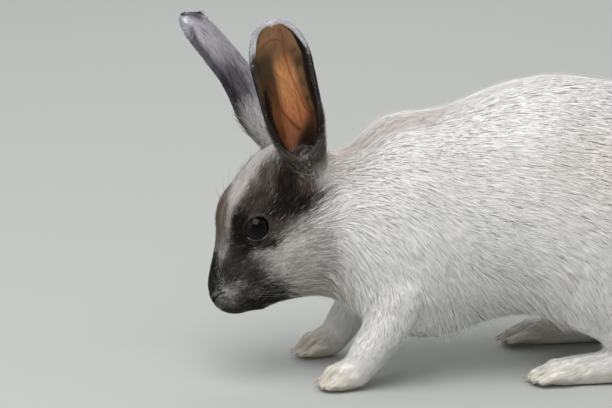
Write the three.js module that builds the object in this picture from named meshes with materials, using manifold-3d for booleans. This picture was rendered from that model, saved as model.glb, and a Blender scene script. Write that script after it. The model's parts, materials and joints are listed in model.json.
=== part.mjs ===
// A life-size domestic rabbit that grazes on level ground: crouched on all four feet, back arched, head
// lowered and turned a little to its left, ears up. Millimetres, +Z up, nose towards -X, left side
// towards -Y. Head, neck and trunk are one surface round one axis, parted with thin cuts. Limbs, ears and
// tail are cut clear of it. The group is set down with its box centred over the origin, on the floor.
import * as THREE from 'three';
import { mergeVertices } from 'three/addons/utils/BufferGeometryUtils.js';
import Module from 'manifold-3d';

const wasm = await Module();
wasm.setup();

// Driving dimensions, all to the tips of the coat.
const trunkLength = 240; // front of the chest to the rump
const hipWidth = 128;
const backHeight = 187; // floor to the top of the arched back
const headLength = 108; // nose to nape
const earLength = 96; // head to the tip
const earWidth = 33.5;
const earThickness = 2.6;
const eyeRadius = 8.6;
const foreFootLength = 27; // wrist to toe tips
const hindFootLength = 94; // heel to toe tips
const heelHeight = 26;
const clawLength = 5.5;
const tailLength = 46;
const gap = 0.35; // left between parts that meet

// Pose
const headPitch = -45; // degrees, nose down
const headTurn = 8; // degrees, towards the rabbit's left
const noseHeight = 52;
const noseReach = 115; // ahead of the shoulders
const noseAside = -11;
const rightForefootAhead = 5;
const sides = { left: -1, right: 1 };

const radians = THREE.MathUtils.degToRad;
const turnAbout = (axis, degrees) => new THREE.Quaternion().setFromAxisAngle(axis, radians(degrees));
const yAxis = new THREE.Vector3(0, 1, 0);
const zAxis = new THREE.Vector3(0, 0, 1);
const level = new THREE.Quaternion();

// Places and sizes on the body, in hundredths of the trunk's length, the hips' width and the back's height.
const bodyPlace = (along, side, up) =>
  new THREE.Vector3(along * trunkLength, side * hipWidth, up * backHeight).divideScalar(100);
// On the head: hundredths of its length back from the nose, to the right, and up from the nose's level.
const nosePlace = new THREE.Vector3(-noseReach, noseAside, noseHeight);
const headAttitude = turnAbout(zAxis, headTurn).multiply(turnAbout(yAxis, headPitch));
const headSize = (along, side, up) => new THREE.Vector3(along, side, up).multiplyScalar(headLength / 100);
const headPlace = (along, side, up) =>
  headSize(along, side, up).applyQuaternion(headAttitude).add(nosePlace);

// --- Forms of flesh: each gives the distance from a point to its surface, negative inside. ---
function ellipsoid(centre, radii, attitude = level) {
  const back = attitude.clone().invert();
  const local = new THREE.Vector3();
  const scaled = new THREE.Vector3();
  return (point) => {
    local.copy(point).sub(centre).applyQuaternion(back);
    const reach = scaled.copy(local).divide(radii).length();
    const slope = scaled.divide(radii).length();
    return reach === 0 ? -Math.min(radii.x, radii.y, radii.z) : (reach * (reach - 1)) / slope;
  };
}

function taper(from, to, startRadius, endRadius) {
  const run = to.clone().sub(from);
  const offset = new THREE.Vector3();
  return (point) => {
    offset.copy(point).sub(from);
    const share = THREE.MathUtils.clamp(offset.dot(run) / run.lengthSq(), 0, 1);
    return offset.addScaledVector(run, -share).length() - THREE.MathUtils.lerp(startRadius, endRadius, share);
  };
}

// The forms as one, with a soft valley of the given breadth where they meet.
function blend(forms, breadth) {
  return (point) =>
    forms
      .map((form) => form(point))
      .reduce((a, b) => {
        const nearness = Math.max(breadth - Math.abs(a - b), 0) / breadth;
        return Math.min(a, b) - (nearness * nearness * breadth) / 4;
      });
}

// --- Meshes round an axis ---
// Where a ray from inside the flesh comes out of it.
function surfacePoint(flesh, origin, direction, offset) {
  const stride = 2.5;
  const halvings = 12;
  const along = (distance) => origin.clone().addScaledVector(direction, distance);
  let far = stride;
  while (flesh(along(far)) < offset) far += stride;
  let near = far - stride;
  for (let i = 0; i < halvings; i++) {
    const middle = (near + far) / 2;
    if (flesh(along(middle)) < offset) near = middle;
    else far = middle;
  }
  return along((near + far) / 2);
}

// A ring of points on the flesh, round an axis point. lean tips its rays towards the axis, in degrees.
function ring(flesh, origin, tangent, lean, segments, offset) {
  const across = new THREE.Vector3().crossVectors(zAxis, tangent).normalize();
  const up = new THREE.Vector3().crossVectors(tangent, across);
  return Array.from({ length: segments }, (_, i) => {
    const angle = (2 * Math.PI * i) / segments;
    const ray = across.clone().multiplyScalar(Math.cos(angle)).addScaledVector(up, Math.sin(angle));
    ray.multiplyScalar(Math.cos(radians(lean))).addScaledVector(tangent, Math.sin(radians(lean)));
    return surfacePoint(flesh, origin, ray, offset);
  });
}

// Rings over the round end of an axis, from the pole outwards; side is -1 at its start and 1 at its end.
function roundEnd(flesh, axis, side, count, segments, offset) {
  const at = side < 0 ? 0 : 1;
  const origin = axis.getPointAt(at);
  const tangent = axis.getTangentAt(at);
  const pole = [surfacePoint(flesh, origin, tangent.clone().multiplyScalar(side), offset)];
  const rings = Array.from({ length: count }, (_, i) =>
    ring(flesh, origin, tangent, side * 90 * (1 - (i + 1) / (count + 1)), segments, offset));
  return [pole, ...rings];
}

function lengthOf(flesh, axis, from, to, count, segments, offset) {
  return Array.from({ length: count }, (_, i) => {
    const at = THREE.MathUtils.lerp(from, to, i / (count - 1));
    return ring(flesh, axis.getPointAt(at), axis.getTangentAt(at), 0, segments, offset);
  });
}

// The flesh round an axis as ring lists, one for each piece between the cuts (shares of the axis), with
// round outer ends of endRows. rows is the count of rings in each piece.
function pieces(flesh, axis, { cuts = [], rows, endRows, segments }, offset = 0) {
  const half = gap / 2 / axis.getLength();
  const edges = [0, ...cuts, 1];
  return rows.map((count, i) => {
    const from = edges[i] + (i > 0 ? half : 0);
    const to = edges[i + 1] - (i + 1 < rows.length ? half : 0);
    const rings = lengthOf(flesh, axis, from, to, count, segments, offset);
    if (i === 0) rings.unshift(...roundEnd(flesh, axis, -1, endRows, segments, offset));
    if (i === rows.length - 1) rings.push(...roundEnd(flesh, axis, 1, endRows, segments, offset).reverse());
    return rings;
  });
}

// A closed mesh through rings of equal counts. An end of one point is a pole, and any other end is flat.
function loft(rings) {
  const middle = (points) =>
    points.reduce((sum, point) => sum.add(point), new THREE.Vector3()).divideScalar(points.length);
  const first = rings[0].length === 1 ? rings : [[middle(rings[0])], ...rings];
  const last = first.at(-1);
  const all = last.length === 1 ? first : [...first, [middle(last)]];
  const corners = [];
  for (let i = 0; i + 1 < all.length; i++) {
    const [a, b] = [all[i], all[i + 1]];
    const count = Math.max(a.length, b.length);
    for (let j = 0; j < count; j++) {
      const [a0, a1] = [a[j % a.length], a[(j + 1) % a.length]];
      const [b0, b1] = [b[j % b.length], b[(j + 1) % b.length]];
      if (a.length > 1) corners.push(a0, a1, b0);
      if (b.length > 1) corners.push(a1, b1, b0);
    }
  }
  return new THREE.BufferGeometry().setFromPoints(corners);
}

function toSolid(geometry) {
  const bare = geometry.index ? geometry.toNonIndexed() : geometry.clone();
  bare.deleteAttribute('normal');
  bare.deleteAttribute('uv');
  const merged = mergeVertices(bare, 1e-4);
  return new wasm.Manifold(new wasm.Mesh({
    numProp: 3,
    vertProperties: merged.attributes.position.array,
    triVerts: new Uint32Array(merged.index.array),
  }));
}

function toGeometry(solid) {
  const { vertProperties, triVerts } = solid.getMesh();
  const geometry = new THREE.BufferGeometry();
  geometry.setAttribute('position', new THREE.BufferAttribute(vertProperties, 3));
  geometry.setIndex(new THREE.BufferAttribute(triVerts, 1));
  return geometry.toNonIndexed();
}

// Parts a solid with a ball stretched to three radii and turned: what lies in it, and what is left
// outside the gap round it.
function partWithBall(solid, centre, radii, attitude) {
  const rows = 8;
  const ball = (spare) => {
    const geometry = new THREE.SphereGeometry(1, 2 * rows, rows);
    geometry.scale(radii.x + spare, radii.y + spare, radii.z + spare);
    geometry.applyQuaternion(attitude);
    return toSolid(geometry.translate(centre.x, centre.y, centre.z));
  };
  return [solid.intersect(ball(0)), solid.subtract(ball(gap))];
}

// --- The head, in its own frame ---
const headScale = headLength / 100;
const onHead = (centre, radii, lean = 0) =>
  ellipsoid(headPlace(...centre), headSize(...radii), headAttitude.clone().multiply(turnAbout(yAxis, lean)));
const headTaper = (from, to, startRadius, endRadius) =>
  taper(headPlace(...from), headPlace(...to), startRadius * headScale, endRadius * headScale);
const eyeSeat = { along: 47.5, side: 17.5, up: 18.5 };

function headForms() {
  const nose = onHead([7.2, 0, -3.4], [7.5, 7.5, 9]);
  const bridge = headTaper([14, 0, 5], [44, 0, 17.5], 8.6, 16);
  const muzzle = onHead([24, 0, -3], [20, 12.5, 15]);
  const forehead = onHead([55, 0, 19], [21, 16, 20.5]);
  const cranium = onHead([73, 0, 15], [25, 20, 27]);
  const jaw = headTaper([18, 0, -18], [46, 0, -20], 8.3, 17);
  const paired = Object.values(sides).flatMap((side) => [
    onHead([eyeSeat.along, side * 12, eyeSeat.up], [14, 10, 12]), // round the eye
    onHead([45, side * 14, 26], [12, 5.5, 5], -35), // brow
    onHead([15, side * 6, -6], [12, 7.5, 9]), // whisker pad
    onHead([32, side * 9, 3], [16, 8.5, 13]), // side of the muzzle
    onHead([58, side * 14, -8], [26, 15, 24]), // cheek
    onHead([91, side * 12, 18], [17, 13.5, 15.5]), // root of the ear
  ]);
  return [nose, bridge, muzzle, forehead, cranium, jaw, ...paired];
}

// --- The trunk, with the forms of shoulder and haunch that it carries ---
const haunch = {
  centre: (side) => bodyPlace(56, side * 28, 43),
  radii: bodyPlace(24, 21, 32),
  attitude: turnAbout(yAxis, 25),
};
const upperArm = {
  centre: (side) => bodyPlace(-2, side * 21, 42),
  radii: bodyPlace(11, 12, 20),
  attitude: level,
};
function trunkForms() {
  const size = bodyPlace;
  const neck = taper(headPlace(78, 0, -14), bodyPlace(-2, 0, 53.5), 33, 41);
  const throat = taper(headPlace(54, 0, -28), bodyPlace(2, 0, 37), 18, 32);
  const chest = ellipsoid(bodyPlace(7, 0, 45), size(22, 32, 34));
  const belly = ellipsoid(bodyPlace(32, 0, 51), size(34, 41, 32));
  const loin = ellipsoid(bodyPlace(38, 0, 67), size(35, 35, 31), turnAbout(yAxis, -4));
  const rump = ellipsoid(bodyPlace(60, 0, 55), size(24, 38, 33));
  const paired = Object.values(sides).flatMap((side) => [
    ellipsoid(bodyPlace(4, side * 14, 66), size(13, 10, 17), turnAbout(yAxis, 25)), // shoulder blade
    ellipsoid(upperArm.centre(side), upperArm.radii, upperArm.attitude),
    ellipsoid(haunch.centre(side), haunch.radii, haunch.attitude),
  ]);
  return [neck, throat, chest, belly, loin, rump, ...paired];
}

const headFlesh = blend(headForms(), 9);
const trunkFlesh = blend(trunkForms(), 22);
const torsoFlesh = blend([headFlesh, trunkFlesh], 16);

// From inside the nose, over the head and neck, and along the trunk to the rump.
const torsoAxis = new THREE.CatmullRomCurve3([
  headPlace(11, 0, -5), headPlace(46, 0, -9), bodyPlace(-15, 0, 51), bodyPlace(4, 0, 53),
  bodyPlace(30, 0, 55), bodyPlace(58, 0, 50),
], false, 'centripetal');
const torsoMesh = { cuts: [0.275, 0.43], rows: [13, 4, 11], endRows: 4, segments: 26 };
const [headSolid, neckSolid, trunkSolid] =
  pieces(torsoFlesh, torsoAxis, torsoMesh).map((rings) => toSolid(loft(rings)));
const grownTorso = toSolid(loft(pieces(torsoFlesh, torsoAxis, torsoMesh, gap).flat()));

// --- Limbs: round flesh through places, each with its radius ---
function limb(stations, mesh, offset = 0) {
  const fillet = 2;
  const places = stations.map(([place]) => place);
  const forms = stations.slice(1).map(([place, radius], i) =>
    taper(places[i], place, stations[i][1], radius));
  const axis = new THREE.CatmullRomCurve3(places, false, 'centripetal');
  return toSolid(loft(pieces(blend(forms, fillet), axis, mesh, offset)[0]));
}
const legMesh = { rows: [4], endRows: 2, segments: 12 };
const soleMesh = { rows: [3], endRows: 2, segments: 10 };
const shankMesh = { rows: [3], endRows: 1, segments: 9 };
const tailMesh = { rows: [4], endRows: 3, segments: 12 };
const toeMesh = { rows: [3], endRows: 1, segments: 5 };
const clawMesh = { rows: [2], endRows: 1, segments: 4 };

const rabbit = new THREE.Group();
const fur = (colour) => new THREE.MeshStandardMaterial({ color: colour, roughness: 0.9, metalness: 0 });
const coat = { white: fur('#e8e5e1'), grey: fur('#6f655d'), earGrey: fur('#8d8890') };
const horn = new THREE.MeshStandardMaterial({ color: '#8a7a68', roughness: 0.5, metalness: 0 });
const eyeBall = new THREE.MeshStandardMaterial({ color: '#150f0d', roughness: 0.08, metalness: 0 });
function addPart(name, solid, material) {
  const mesh = new THREE.Mesh(toGeometry(solid), material);
  mesh.name = name;
  rabbit.add(mesh);
}

// A toe that reaches forward from its knuckle and arches down to the floor, a copy of it grown by the gap,
// and the claw at its tip.
function toeAndClaw(knuckle, reach, radius, claw) {
  const ahead = (from, forward, up) => from.clone().add(new THREE.Vector3(-forward, 0, up));
  const tipHeight = knuckle.z * 0.45 + radius * 0.4;
  const tip = ahead(knuckle, reach - radius * 0.8, tipHeight - knuckle.z);
  const arch = ahead(knuckle, reach / 2, radius * 0.2);
  const stations = [[knuckle, radius], [arch, radius], [tip, radius * 0.85]];
  const clawRoot = ahead(tip, radius * 0.3, radius * 0.3);
  const clawStations = [
    [clawRoot, claw * 0.2],
    [ahead(clawRoot, claw / 2, -radius * 0.1), claw * 0.16],
    [ahead(clawRoot, claw, -radius * 0.55), claw * 0.05],
  ];
  return [limb(stations, toeMesh), limb(stations, toeMesh, gap), limb(clawStations, clawMesh)];
}

// A foot with its sole cut flat at the floor. toes lists how far each toe's knuckle is out from the foot's
// line, how far its tip is back from the longest toe's, and its radius and height, all in millimetres.
function addFoot(name, sole, tipLine, side, out, toes, reach, claw) {
  const digits = toes.map(({ across, back, radius, up }) => {
    const knuckle = new THREE.Vector3(tipLine + back + reach, side * (out + across), up);
    return toeAndClaw(knuckle, reach, radius, claw);
  });
  const foot = digits.reduce((solid, [toe]) => solid.add(toe), sole);
  addPart(name, foot.trimByPlane([0, 0, 1], 0), coat.white);
  const grownToes = digits.map(([, grown]) => grown).reduce((solid, toe) => solid.add(toe));
  digits.forEach(([, , nail], i) => addPart(`${name}_claw_${i + 1}`, nail.subtract(grownToes), horn));
}

// The foreleg comes out of the chest above its elbow and stands on the whole forefoot.
const foreLegOut = hipWidth * 0.26;
const foreToes = [
  { across: -11, back: 7, radius: 2.8, up: 9 }, // the short inner toe, clear of the floor
  { across: -6.5, back: 2, radius: 3.8, up: 5.5 },
  { across: -2, back: 0, radius: 4, up: 6 },
  { across: 3, back: 0.5, radius: 4, up: 6 },
  { across: 7.5, back: 3.5, radius: 3.7, up: 5.5 },
];
function addForeLeg(label, side, ahead) {
  const place = (along, up) => new THREE.Vector3(along - ahead, side * foreLegOut, up);
  const wristAlong = -trunkLength * 0.117;
  const armLength = backHeight * 0.25;
  const arm = [
    [place(wristAlong + armLength * 0.55, 15 + armLength), 17],
    [place(wristAlong + armLength * 0.38, 15 + armLength * 0.58), 14.5],
    [place(wristAlong, 15), 10.5],
  ];
  const palm = [
    [place(wristAlong - 3, 11), 10.5],
    [place(wristAlong - foreFootLength * 0.5, 7.5), 9.5],
  ];
  const tipLine = wristAlong - ahead - foreFootLength;
  const sole = limb(palm, soleMesh).subtract(limb(arm, legMesh, gap));
  addPart(`forearm_${label}`, limb(arm, legMesh).subtract(grownTorso), coat.white);
  addFoot(`fore_foot_${label}`, sole, tipLine, side, foreLegOut, foreToes, 12, clawLength * 0.8);
}

// The hind leg folds under the haunch, and the long hind foot lies flat from its heel to its toes.
const hindLegOut = hipWidth * 0.32;
const heelAlong = trunkLength * 0.695;
const hindToes = [
  { across: -8.5, back: 3, radius: 3.9, up: 6.5 },
  { across: -3, back: 0, radius: 4.5, up: 6.5 },
  { across: 3, back: 1, radius: 4.5, up: 6.5 },
  { across: 8.5, back: 5, radius: 4, up: 6.5 },
];
function addHindLeg(label, side) {
  const heelRadius = heelHeight / 2;
  const tipLine = heelAlong - hindFootLength;
  const place = (along, up) => new THREE.Vector3(along, side * hindLegOut, up);
  const hock = place(heelAlong - heelRadius, heelRadius * 0.93);
  const knee = bodyPlace(46, side * 29, 27);
  const shank = [[knee, 14], [hock.clone().lerp(knee, 0.45), 15], [hock, heelRadius * 0.8]];
  const sole = [
    [hock, heelRadius],
    [place(tipLine + hindFootLength * 0.49, 9), 10.5],
    [place(tipLine + hindFootLength * 0.21, 7), 9.5],
  ];
  const bareShank = limb(shank, shankMesh).subtract(grownTorso).subtract(limb(sole, soleMesh, gap));
  addPart(`shank_${label}`, bareShank, coat.white);
  const foot = limb(sole, soleMesh).subtract(grownTorso);
  addFoot(`hind_foot_${label}`, foot, tipLine, side, hindLegOut, hindToes, 20, clawLength);
}

// --- Ears: a shell curled round a curved spine and open to one side ---
// A closed shell between two grids of points of equal counts.
function shell(front, back) {
  const corners = [];
  const quad = (a, b, c, d) => corners.push(a, b, c, a, c, d);
  const last = front.length - 1;
  const side = front[0].length - 1;
  for (let i = 0; i < last; i++) {
    for (let j = 0; j < side; j++) {
      quad(front[i][j], front[i][j + 1], front[i + 1][j + 1], front[i + 1][j]);
      quad(back[i][j], back[i + 1][j], back[i + 1][j + 1], back[i][j + 1]);
    }
    quad(front[i][0], front[i + 1][0], back[i + 1][0], back[i][0]);
    quad(front[i][side], back[i][side], back[i + 1][side], front[i + 1][side]);
  }
  for (let j = 0; j < side; j++) {
    quad(front[0][j], back[0][j], back[0][j + 1], front[0][j + 1]);
    quad(front[last][j], front[last][j + 1], back[last][j + 1], back[last][j]);
  }
  return new THREE.BufferGeometry().setFromPoints(corners);
}

// Half width in ear widths, and half curl in degrees, at shares of its length from the root to the tip.
const earProfile = [
  { at: 0, width: 0.17, curl: 165 },
  { at: 0.14, width: 0.26, curl: 160 },
  { at: 0.24, width: 0.35, curl: 125 },
  { at: 0.36, width: 0.42, curl: 92 },
  { at: 0.5, width: 0.48, curl: 66 },
  { at: 0.7, width: 0.5, curl: 50 },
  { at: 0.86, width: 0.43, curl: 40 },
  { at: 0.94, width: 0.32, curl: 34 },
  { at: 0.985, width: 0.18, curl: 30 },
  { at: 1, width: 0.06, curl: 28 },
];
function profileAt(at, key) {
  const i = Math.max(1, earProfile.findIndex((row) => row.at >= at));
  const [a, b] = [earProfile[i - 1], earProfile[i]];
  return THREE.MathUtils.lerp(a[key], b[key], (at - a.at) / (b.at - a.at));
}
function ear({ root, lean, tipLean, opening }) {
  const rows = 12;
  const columns = 7;
  const middle = root.clone().addScaledVector(lean, earLength * 0.63);
  const tip = middle.clone().addScaledVector(tipLean, earLength * 0.62);
  const spine = new THREE.CatmullRomCurve3([root, middle, tip], false, 'centripetal');
  const surface = (offset) => Array.from({ length: rows }, (_, i) => {
    const at = Math.sin((Math.PI / 2) * (i / (rows - 1))); // closer rows towards the tip
    const along = spine.getTangentAt(at);
    const out = opening.clone().addScaledVector(along, -opening.dot(along)).normalize();
    const across = new THREE.Vector3().crossVectors(along, out);
    const curl = radians(profileAt(at, 'curl'));
    const radius = (profileAt(at, 'width') * earWidth) / Math.sin(Math.min(curl, Math.PI / 2));
    const rim = radius + offset * earThickness;
    const forward = radius * 0.5 * Math.min(1, at / 0.4);
    return Array.from({ length: columns }, (_, j) => {
      const angle = curl * ((2 * j) / (columns - 1) - 1);
      return spine.getPointAt(at)
        .addScaledVector(out, forward - rim * Math.cos(angle))
        .addScaledVector(across, rim * Math.sin(angle));
    });
  });
  return toSolid(shell(surface(-0.5), surface(0.5))).subtract(grownTorso);
}
const direction = (x, y, z) => new THREE.Vector3(x, y, z).normalize();
const ears = {
  left: {
    root: headPlace(84.5, -8, 5),
    lean: direction(-0.26, -0.35, 0.9),
    tipLean: direction(-0.25, -0.28, 0.93),
    opening: direction(-0.15, -1, 0.1),
  },
  right: {
    root: headPlace(87, 7, 11),
    lean: direction(-0.54, 0.2, 0.82),
    tipLean: direction(-0.69, 0.03, 0.72),
    opening: direction(-0.91, 0.41, 0),
  },
};

// --- The whole rabbit ---
const jaw = {
  centre: headPlace(28, 0, -31),
  radii: headSize(25, 15, 15),
  attitude: headAttitude.clone().multiply(turnAbout(yAxis, 8)),
};
const [lowerJaw, upperHead] = partWithBall(headSolid, jaw.centre, jaw.radii, jaw.attitude);
let restOfHead = upperHead;
for (const [label, side] of Object.entries(sides)) {
  const seat = headPlace(eyeSeat.along, side * eyeSeat.side, eyeSeat.up);
  const eye = (radius) => toSolid(new THREE.SphereGeometry(radius, 14, 9).translate(seat.x, seat.y, seat.z));
  addPart(`eye_${label}`, eye(eyeRadius), eyeBall);
  restOfHead = restOfHead.subtract(eye(eyeRadius + gap));
  addPart(`ear_${label}`, ear(ears[label]), coat.earGrey);
}
addPart('head', restOfHead, coat.grey);
addPart('lower_jaw', lowerJaw, coat.grey);
addPart('neck', neckSolid, coat.white);

// The cutters reach out past the flesh, so that each joint line is clean.
const pastFlesh = (radii) => radii.clone().add(bodyPlace(0, 20, 0));
let restOfTrunk = trunkSolid;
for (const [label, side] of Object.entries(sides)) {
  const thighCentre = haunch.centre(side).add(bodyPlace(0, side * 14, 0));
  const armCentre = upperArm.centre(side).add(bodyPlace(0, side * 18, 0));
  const [thigh, rest] = partWithBall(restOfTrunk, thighCentre, pastFlesh(haunch.radii), haunch.attitude);
  const [arm, bare] = partWithBall(rest, armCentre, pastFlesh(upperArm.radii), upperArm.attitude);
  restOfTrunk = bare;
  addPart(`thigh_${label}`, thigh, coat.white);
  addPart(`upper_arm_${label}`, arm, coat.white);
  addForeLeg(label, side, label === 'right' ? rightForefootAhead : 0);
  addHindLeg(label, side);
}
addPart('trunk', restOfTrunk, coat.white);

// The tail stands up against the rump.
const tailRoot = bodyPlace(78, 0, 46);
const tailTip = tailRoot.clone().add(new THREE.Vector3(tailLength * 0.3, 0, tailLength * 0.6));
const tailMiddle = tailRoot.clone().lerp(tailTip, 0.55).add(new THREE.Vector3(tailLength * 0.12, 0, 0));
const tail = limb([[tailRoot, 12], [tailMiddle, 14], [tailTip, 10]], tailMesh);
addPart('tail', tail.subtract(grownTorso), coat.white);

const box = new THREE.Box3().setFromObject(rabbit);
const middle = box.getCenter(new THREE.Vector3());
rabbit.position.set(-middle.x, -middle.y, 0);

export default rabbit;
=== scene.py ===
import json
import math

import bpy
import numpy as np
from mathutils import Matrix, Vector
from mathutils.bvhtree import BVHTree
from mathutils.kdtree import KDTree

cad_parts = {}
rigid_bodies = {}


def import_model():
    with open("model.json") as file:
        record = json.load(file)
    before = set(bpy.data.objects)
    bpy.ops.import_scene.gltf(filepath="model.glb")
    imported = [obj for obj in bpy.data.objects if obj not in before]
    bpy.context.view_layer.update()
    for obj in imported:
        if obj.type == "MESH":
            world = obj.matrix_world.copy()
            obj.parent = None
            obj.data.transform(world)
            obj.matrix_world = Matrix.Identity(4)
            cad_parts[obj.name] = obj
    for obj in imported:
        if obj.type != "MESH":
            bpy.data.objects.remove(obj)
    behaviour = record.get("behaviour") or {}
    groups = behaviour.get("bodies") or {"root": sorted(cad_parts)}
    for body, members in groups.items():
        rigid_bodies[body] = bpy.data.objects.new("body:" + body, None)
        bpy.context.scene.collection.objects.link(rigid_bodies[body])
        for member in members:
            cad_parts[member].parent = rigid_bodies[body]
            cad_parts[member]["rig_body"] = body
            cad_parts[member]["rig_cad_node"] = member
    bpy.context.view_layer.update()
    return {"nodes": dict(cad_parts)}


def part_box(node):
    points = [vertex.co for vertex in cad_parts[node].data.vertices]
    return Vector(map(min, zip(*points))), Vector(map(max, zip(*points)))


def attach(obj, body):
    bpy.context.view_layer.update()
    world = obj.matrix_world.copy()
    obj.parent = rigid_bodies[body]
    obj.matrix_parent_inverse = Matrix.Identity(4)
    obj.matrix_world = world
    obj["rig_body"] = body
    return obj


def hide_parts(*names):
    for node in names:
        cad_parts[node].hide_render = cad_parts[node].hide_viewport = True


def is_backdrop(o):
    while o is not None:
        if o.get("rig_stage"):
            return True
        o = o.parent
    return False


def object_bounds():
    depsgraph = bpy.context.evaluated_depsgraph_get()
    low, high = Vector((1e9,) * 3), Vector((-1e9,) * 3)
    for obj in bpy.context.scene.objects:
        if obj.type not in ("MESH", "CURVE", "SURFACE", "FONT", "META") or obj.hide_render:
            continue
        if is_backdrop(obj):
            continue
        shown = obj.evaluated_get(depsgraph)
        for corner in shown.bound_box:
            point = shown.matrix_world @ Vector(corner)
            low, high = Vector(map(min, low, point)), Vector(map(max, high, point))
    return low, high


# A grey-masked white rabbit, life size. Metres, nose towards -X, its left side towards -Y.
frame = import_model()
cadNodes = frame["nodes"]
mm = 0.001
sides = {"left": -1, "right": 1}
print("frame loaded")


# Objects and edit mode
def deselectAll():
    for item in bpy.context.view_layer.objects:
        item.select_set(False)


def pickUp(*items):
    deselectAll()
    for item in items:
        item.hide_set(False)
        item.select_set(True)
    bpy.context.view_layer.objects.active = items[0]


def modify(item, kind, **settings):
    pickUp(item)
    bpy.ops.object.modifier_add(type=kind)
    modifier = item.modifiers[-1]
    for name, value in settings.items():
        setattr(modifier, name, value)
    bpy.ops.object.modifier_apply(modifier=modifier.name)


def nameActive(name):
    piece = bpy.context.active_object
    piece.name = name
    piece.data.name = name
    return piece


def addPiece(name, operation, **settings):
    deselectAll()
    operation(**settings)
    return nameActive(name)


def smoothShade(item):
    pickUp(item)
    bpy.ops.object.shade_smooth()


def editAll(item, operation, **settings):
    pickUp(item)
    bpy.ops.object.mode_set(mode="EDIT")
    bpy.ops.mesh.select_all(action="SELECT")
    operation(**settings)
    bpy.ops.object.mode_set(mode="OBJECT")


def readAll(collection, name, width, kind=float):
    values = np.empty(len(collection) * width, kind)
    collection.foreach_get(name, values)
    return values.reshape(-1, width)


def placesOf(item):
    return readAll(item.data.vertices, "co", 3)


def setPlaces(item, places):
    item.data.vertices.foreach_set("co", places.ravel())
    item.data.update()


def normalsOf(item):
    return readAll(item.data.vertex_normals, "vector", 3, np.float32).astype(float)


def addAttributes(item, **attributes):
    for name, values in attributes.items():
        values = np.ascontiguousarray(values, np.float32)
        kind, field = ("FLOAT_VECTOR", "vector") if values.ndim == 2 else ("FLOAT", "value")
        item.data.attributes.new(name, kind, "POINT").data.foreach_set(field, values.ravel())


def unit(vectors):
    return vectors / np.maximum(np.linalg.norm(vectors, axis=-1, keepdims=True), 1e-12)


def fade(value, low, high):
    # 0 below low, 1 above high, smooth between
    share = np.clip((value - low) / (high - low), 0, 1)
    return share * share * (3 - 2 * share)


def alongside(ways, normals):
    # the part of each direction that runs along the surface
    return unit(ways - normals * (ways * normals).sum(1, keepdims=True))


def runOf(points):
    # how far along a line each of its points lies
    return np.concatenate([[0], np.cumsum(np.linalg.norm(np.diff(points, axis=0), axis=1))])


def readLine(at, run, rows):
    # a line's values at places along it
    return np.stack([np.interp(at, run, column) for column in rows.T], -1)


def kdTreeOf(spots):
    tree = KDTree(len(spots))
    for index, spot in enumerate(spots.tolist()):
        tree.insert(spot, index)
    tree.balance()
    return tree


# The head's own measure: hundredths of its length back from the nose, to the right, and up
headShape = {"length": 108 * mm, "pitch": -45, "turn": 8, "nose": (-115, -11, 52)}
eyeShape = {"seat": (47.5, 17.5, 18.5), "radius": 8.6 * mm}
headTurn = (Matrix.Rotation(math.radians(headShape["turn"]), 3, "Z")
            @ Matrix.Rotation(math.radians(headShape["pitch"]), 3, "Y"))
headAxes = np.array(headTurn)
headUnit = headShape["length"] / 100
leftEye = sum(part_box("eye_left"), Vector()) / 2
leftSeat = Vector((eyeShape["seat"][0], -eyeShape["seat"][1], eyeShape["seat"][2]))
noseTip = np.array(leftEye - headTurn @ (leftSeat * headUnit))
shoulders = noseTip - np.array(headShape["nose"]) * mm


def onHead(*spot):
    return noseTip + headAxes @ (np.array(spot) * headUnit)


def inHead(places):
    return (places - noseTip) @ headAxes / headUnit


def onBody(*spot):
    return shoulders + np.array(spot) * mm


eyeCentres = {label: onHead(eyeShape["seat"][0], side * eyeShape["seat"][1], eyeShape["seat"][2])
              for label, side in sides.items()}


def eyeGap(places):
    return np.min([np.linalg.norm(places - centre, axis=1) for centre in eyeCentres.values()], axis=0)


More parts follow.
